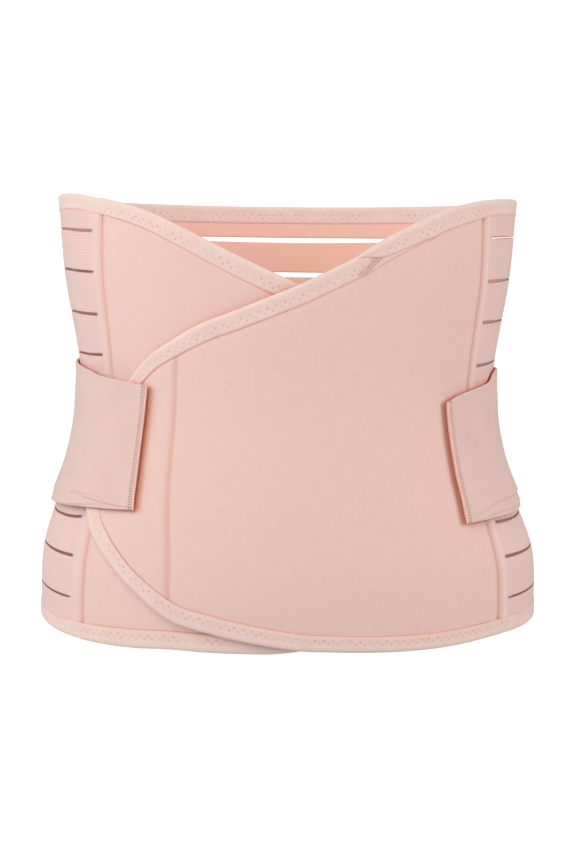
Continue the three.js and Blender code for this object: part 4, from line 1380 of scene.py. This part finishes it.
def camera():
    data = bpy.data.cameras.new("camera")
    data.sensor_fit = "VERTICAL"
    data.sensor_height = SENSOR_HEIGHT
    data.lens = CAMERA_LENS
    data.clip_end = SIGHT_METRES
    piece = linked("camera", data)
    place = Matrix.Translation([value * MM for value in CAMERA_PLACE])
    pitch = Matrix.Rotation(math.radians(90 - CAMERA_PITCH), 4, "X")
    roll = Matrix.Rotation(math.radians(CAMERA_ROLL), 4, "Z")
    piece.matrix_world = place @ pitch @ roll
    bpy.context.scene.camera = piece


# Assembly

def dress(piece, material, node=None):
    piece.data.materials.clear()
    piece.data.materials.append(material)
    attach(piece, "root")
    if node is not None:
        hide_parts(node)


camera()
floor_and_light()

fuzz, weave, holes = fuzz_group(), weave_group(), hole_group()
panel_material = panel_cloth(fuzz)
tape_material = tape_cloth(fuzz, holes)
web_material = elastic_cloth(
    "ribbed_web", fuzz, weave, WEB_DARK, WEB_LIGHT, dict(ridge=RIDGE_HIGHLIGHT, inside=WEB_INSIDE_SHADE, groove_shade=GROOVE_SHADE),
    dict(shade=SLIT_SHADE), depth=0.06,
    rib_pitch=RIB_PITCH, yarn_pitch=0.9, rib_share=0.25, yarn_share=0.15,
)
strap_material = elastic_cloth(
    "ribbed_strap", fuzz, weave, STRAP_DARK, STRAP_LIGHT, dict(sewn=SEWN_ROW),
    dict(rim_highlight=STRAP_END_HIGHLIGHT), depth=0.08,
    rib_pitch=1.25, yarn_pitch=1.5, rib_share=0.12, yarn_share=0.3,
)
hook_material = plain_cloth("hook_tape", fuzz, HOOK_DARK, HOOK_LIGHT, roughness=0.75)
thread_material = plain_cloth("thread", fuzz, THREAD_DARK, THREAD_LIGHT, roughness=0.6)
stitch_material = plain_cloth("stitch_thread", fuzz, STITCH_DARK, STITCH_LIGHT, roughness=0.6)
seam_material = plain_cloth("seam_thread", fuzz, SEAM_THREAD, SEAM_THREAD, roughness=0.6)

channel_share = CHANNEL_ROW / (len(OVER_PANEL["bow"]) - 1)
over_panel = front_panel("panel_over", OVER_PANEL, over_lift, seed=5, channel=channel_share)
under_panel = front_panel("panel_under", UNDER_PANEL, np.zeros_like, seed=9)
web = grown(back_web(), rib_tree(), {"Rib Height": RIB_HEIGHT * MM, "Cloth": web_material})
tape_at, tape_stations = even_steps(tape_route(), TAPE_STEP)
tape = edge_tape(tape_at, tape_stations)
left_strap = strap_piece(
    "elastic_strap_left", LEFT_STRAP, -1, LEFT_FOLDS, seed=21, rim_highlight=0.6, weave_share=1.0)
right_strap = strap_piece(
    "elastic_strap_right", RIGHT_STRAP, 1, RIGHT_FOLDS, seed=23, rim_highlight=0.15, weave_share=0.35)
left_hook = hook_piece("hooks_left", LEFT_HOOK)
right_hook = hook_piece("hooks_right", RIGHT_HOOK)

# Stitch pieces: each has its runs, its thread, and the length and thickness of one stitch
sewn_rows = dict(
    tape_zigzag=(tape_stitches(tape_at, tape_stations), thread_material, 3.4, 0.34),
    strap_left_stitches=(strap_stitches(LEFT_STRAP, -1), stitch_material, 0.8, 0.6),
    strap_right_stitches=(strap_stitches(RIGHT_STRAP, 1), stitch_material, 0.8, 0.6),
    strap_left_pleat_stitches=(pleat_stitches(LEFT_STRAP, -1), seam_material, 1.7, 0.45),
    channel_stitches=(channel_stitches(channel_share), thread_material, 2.0, 0.3),
    tape_joint_stitches=(joint_stitches(), seam_material, 1.2, 0.45),
)
sewing = stitch_tree()
threads = [stitch_piece(name, sewing, *row) for name, row in sewn_rows.items()]
tape_thread, left_thread, right_thread, pleat_thread, channel_thread, joint_thread = threads

dress(over_panel, panel_material, "front_panel_over")
dress(under_panel, panel_material, "front_panel_under")
dress(web, web_material, "back_web")
dress(tape, tape_material, "edge_tape")
dress(left_strap, strap_material, "strap_left")
dress(right_strap, strap_material, "strap_right")
dress(left_hook, hook_material, "hook_tape_left")
dress(right_hook, hook_material, "hook_tape_right")
dress(tape_thread, thread_material)
dress(channel_thread, thread_material)
dress(joint_thread, seam_material)
dress(left_thread, stitch_material)
dress(right_thread, stitch_material)
dress(pleat_thread, seam_material)
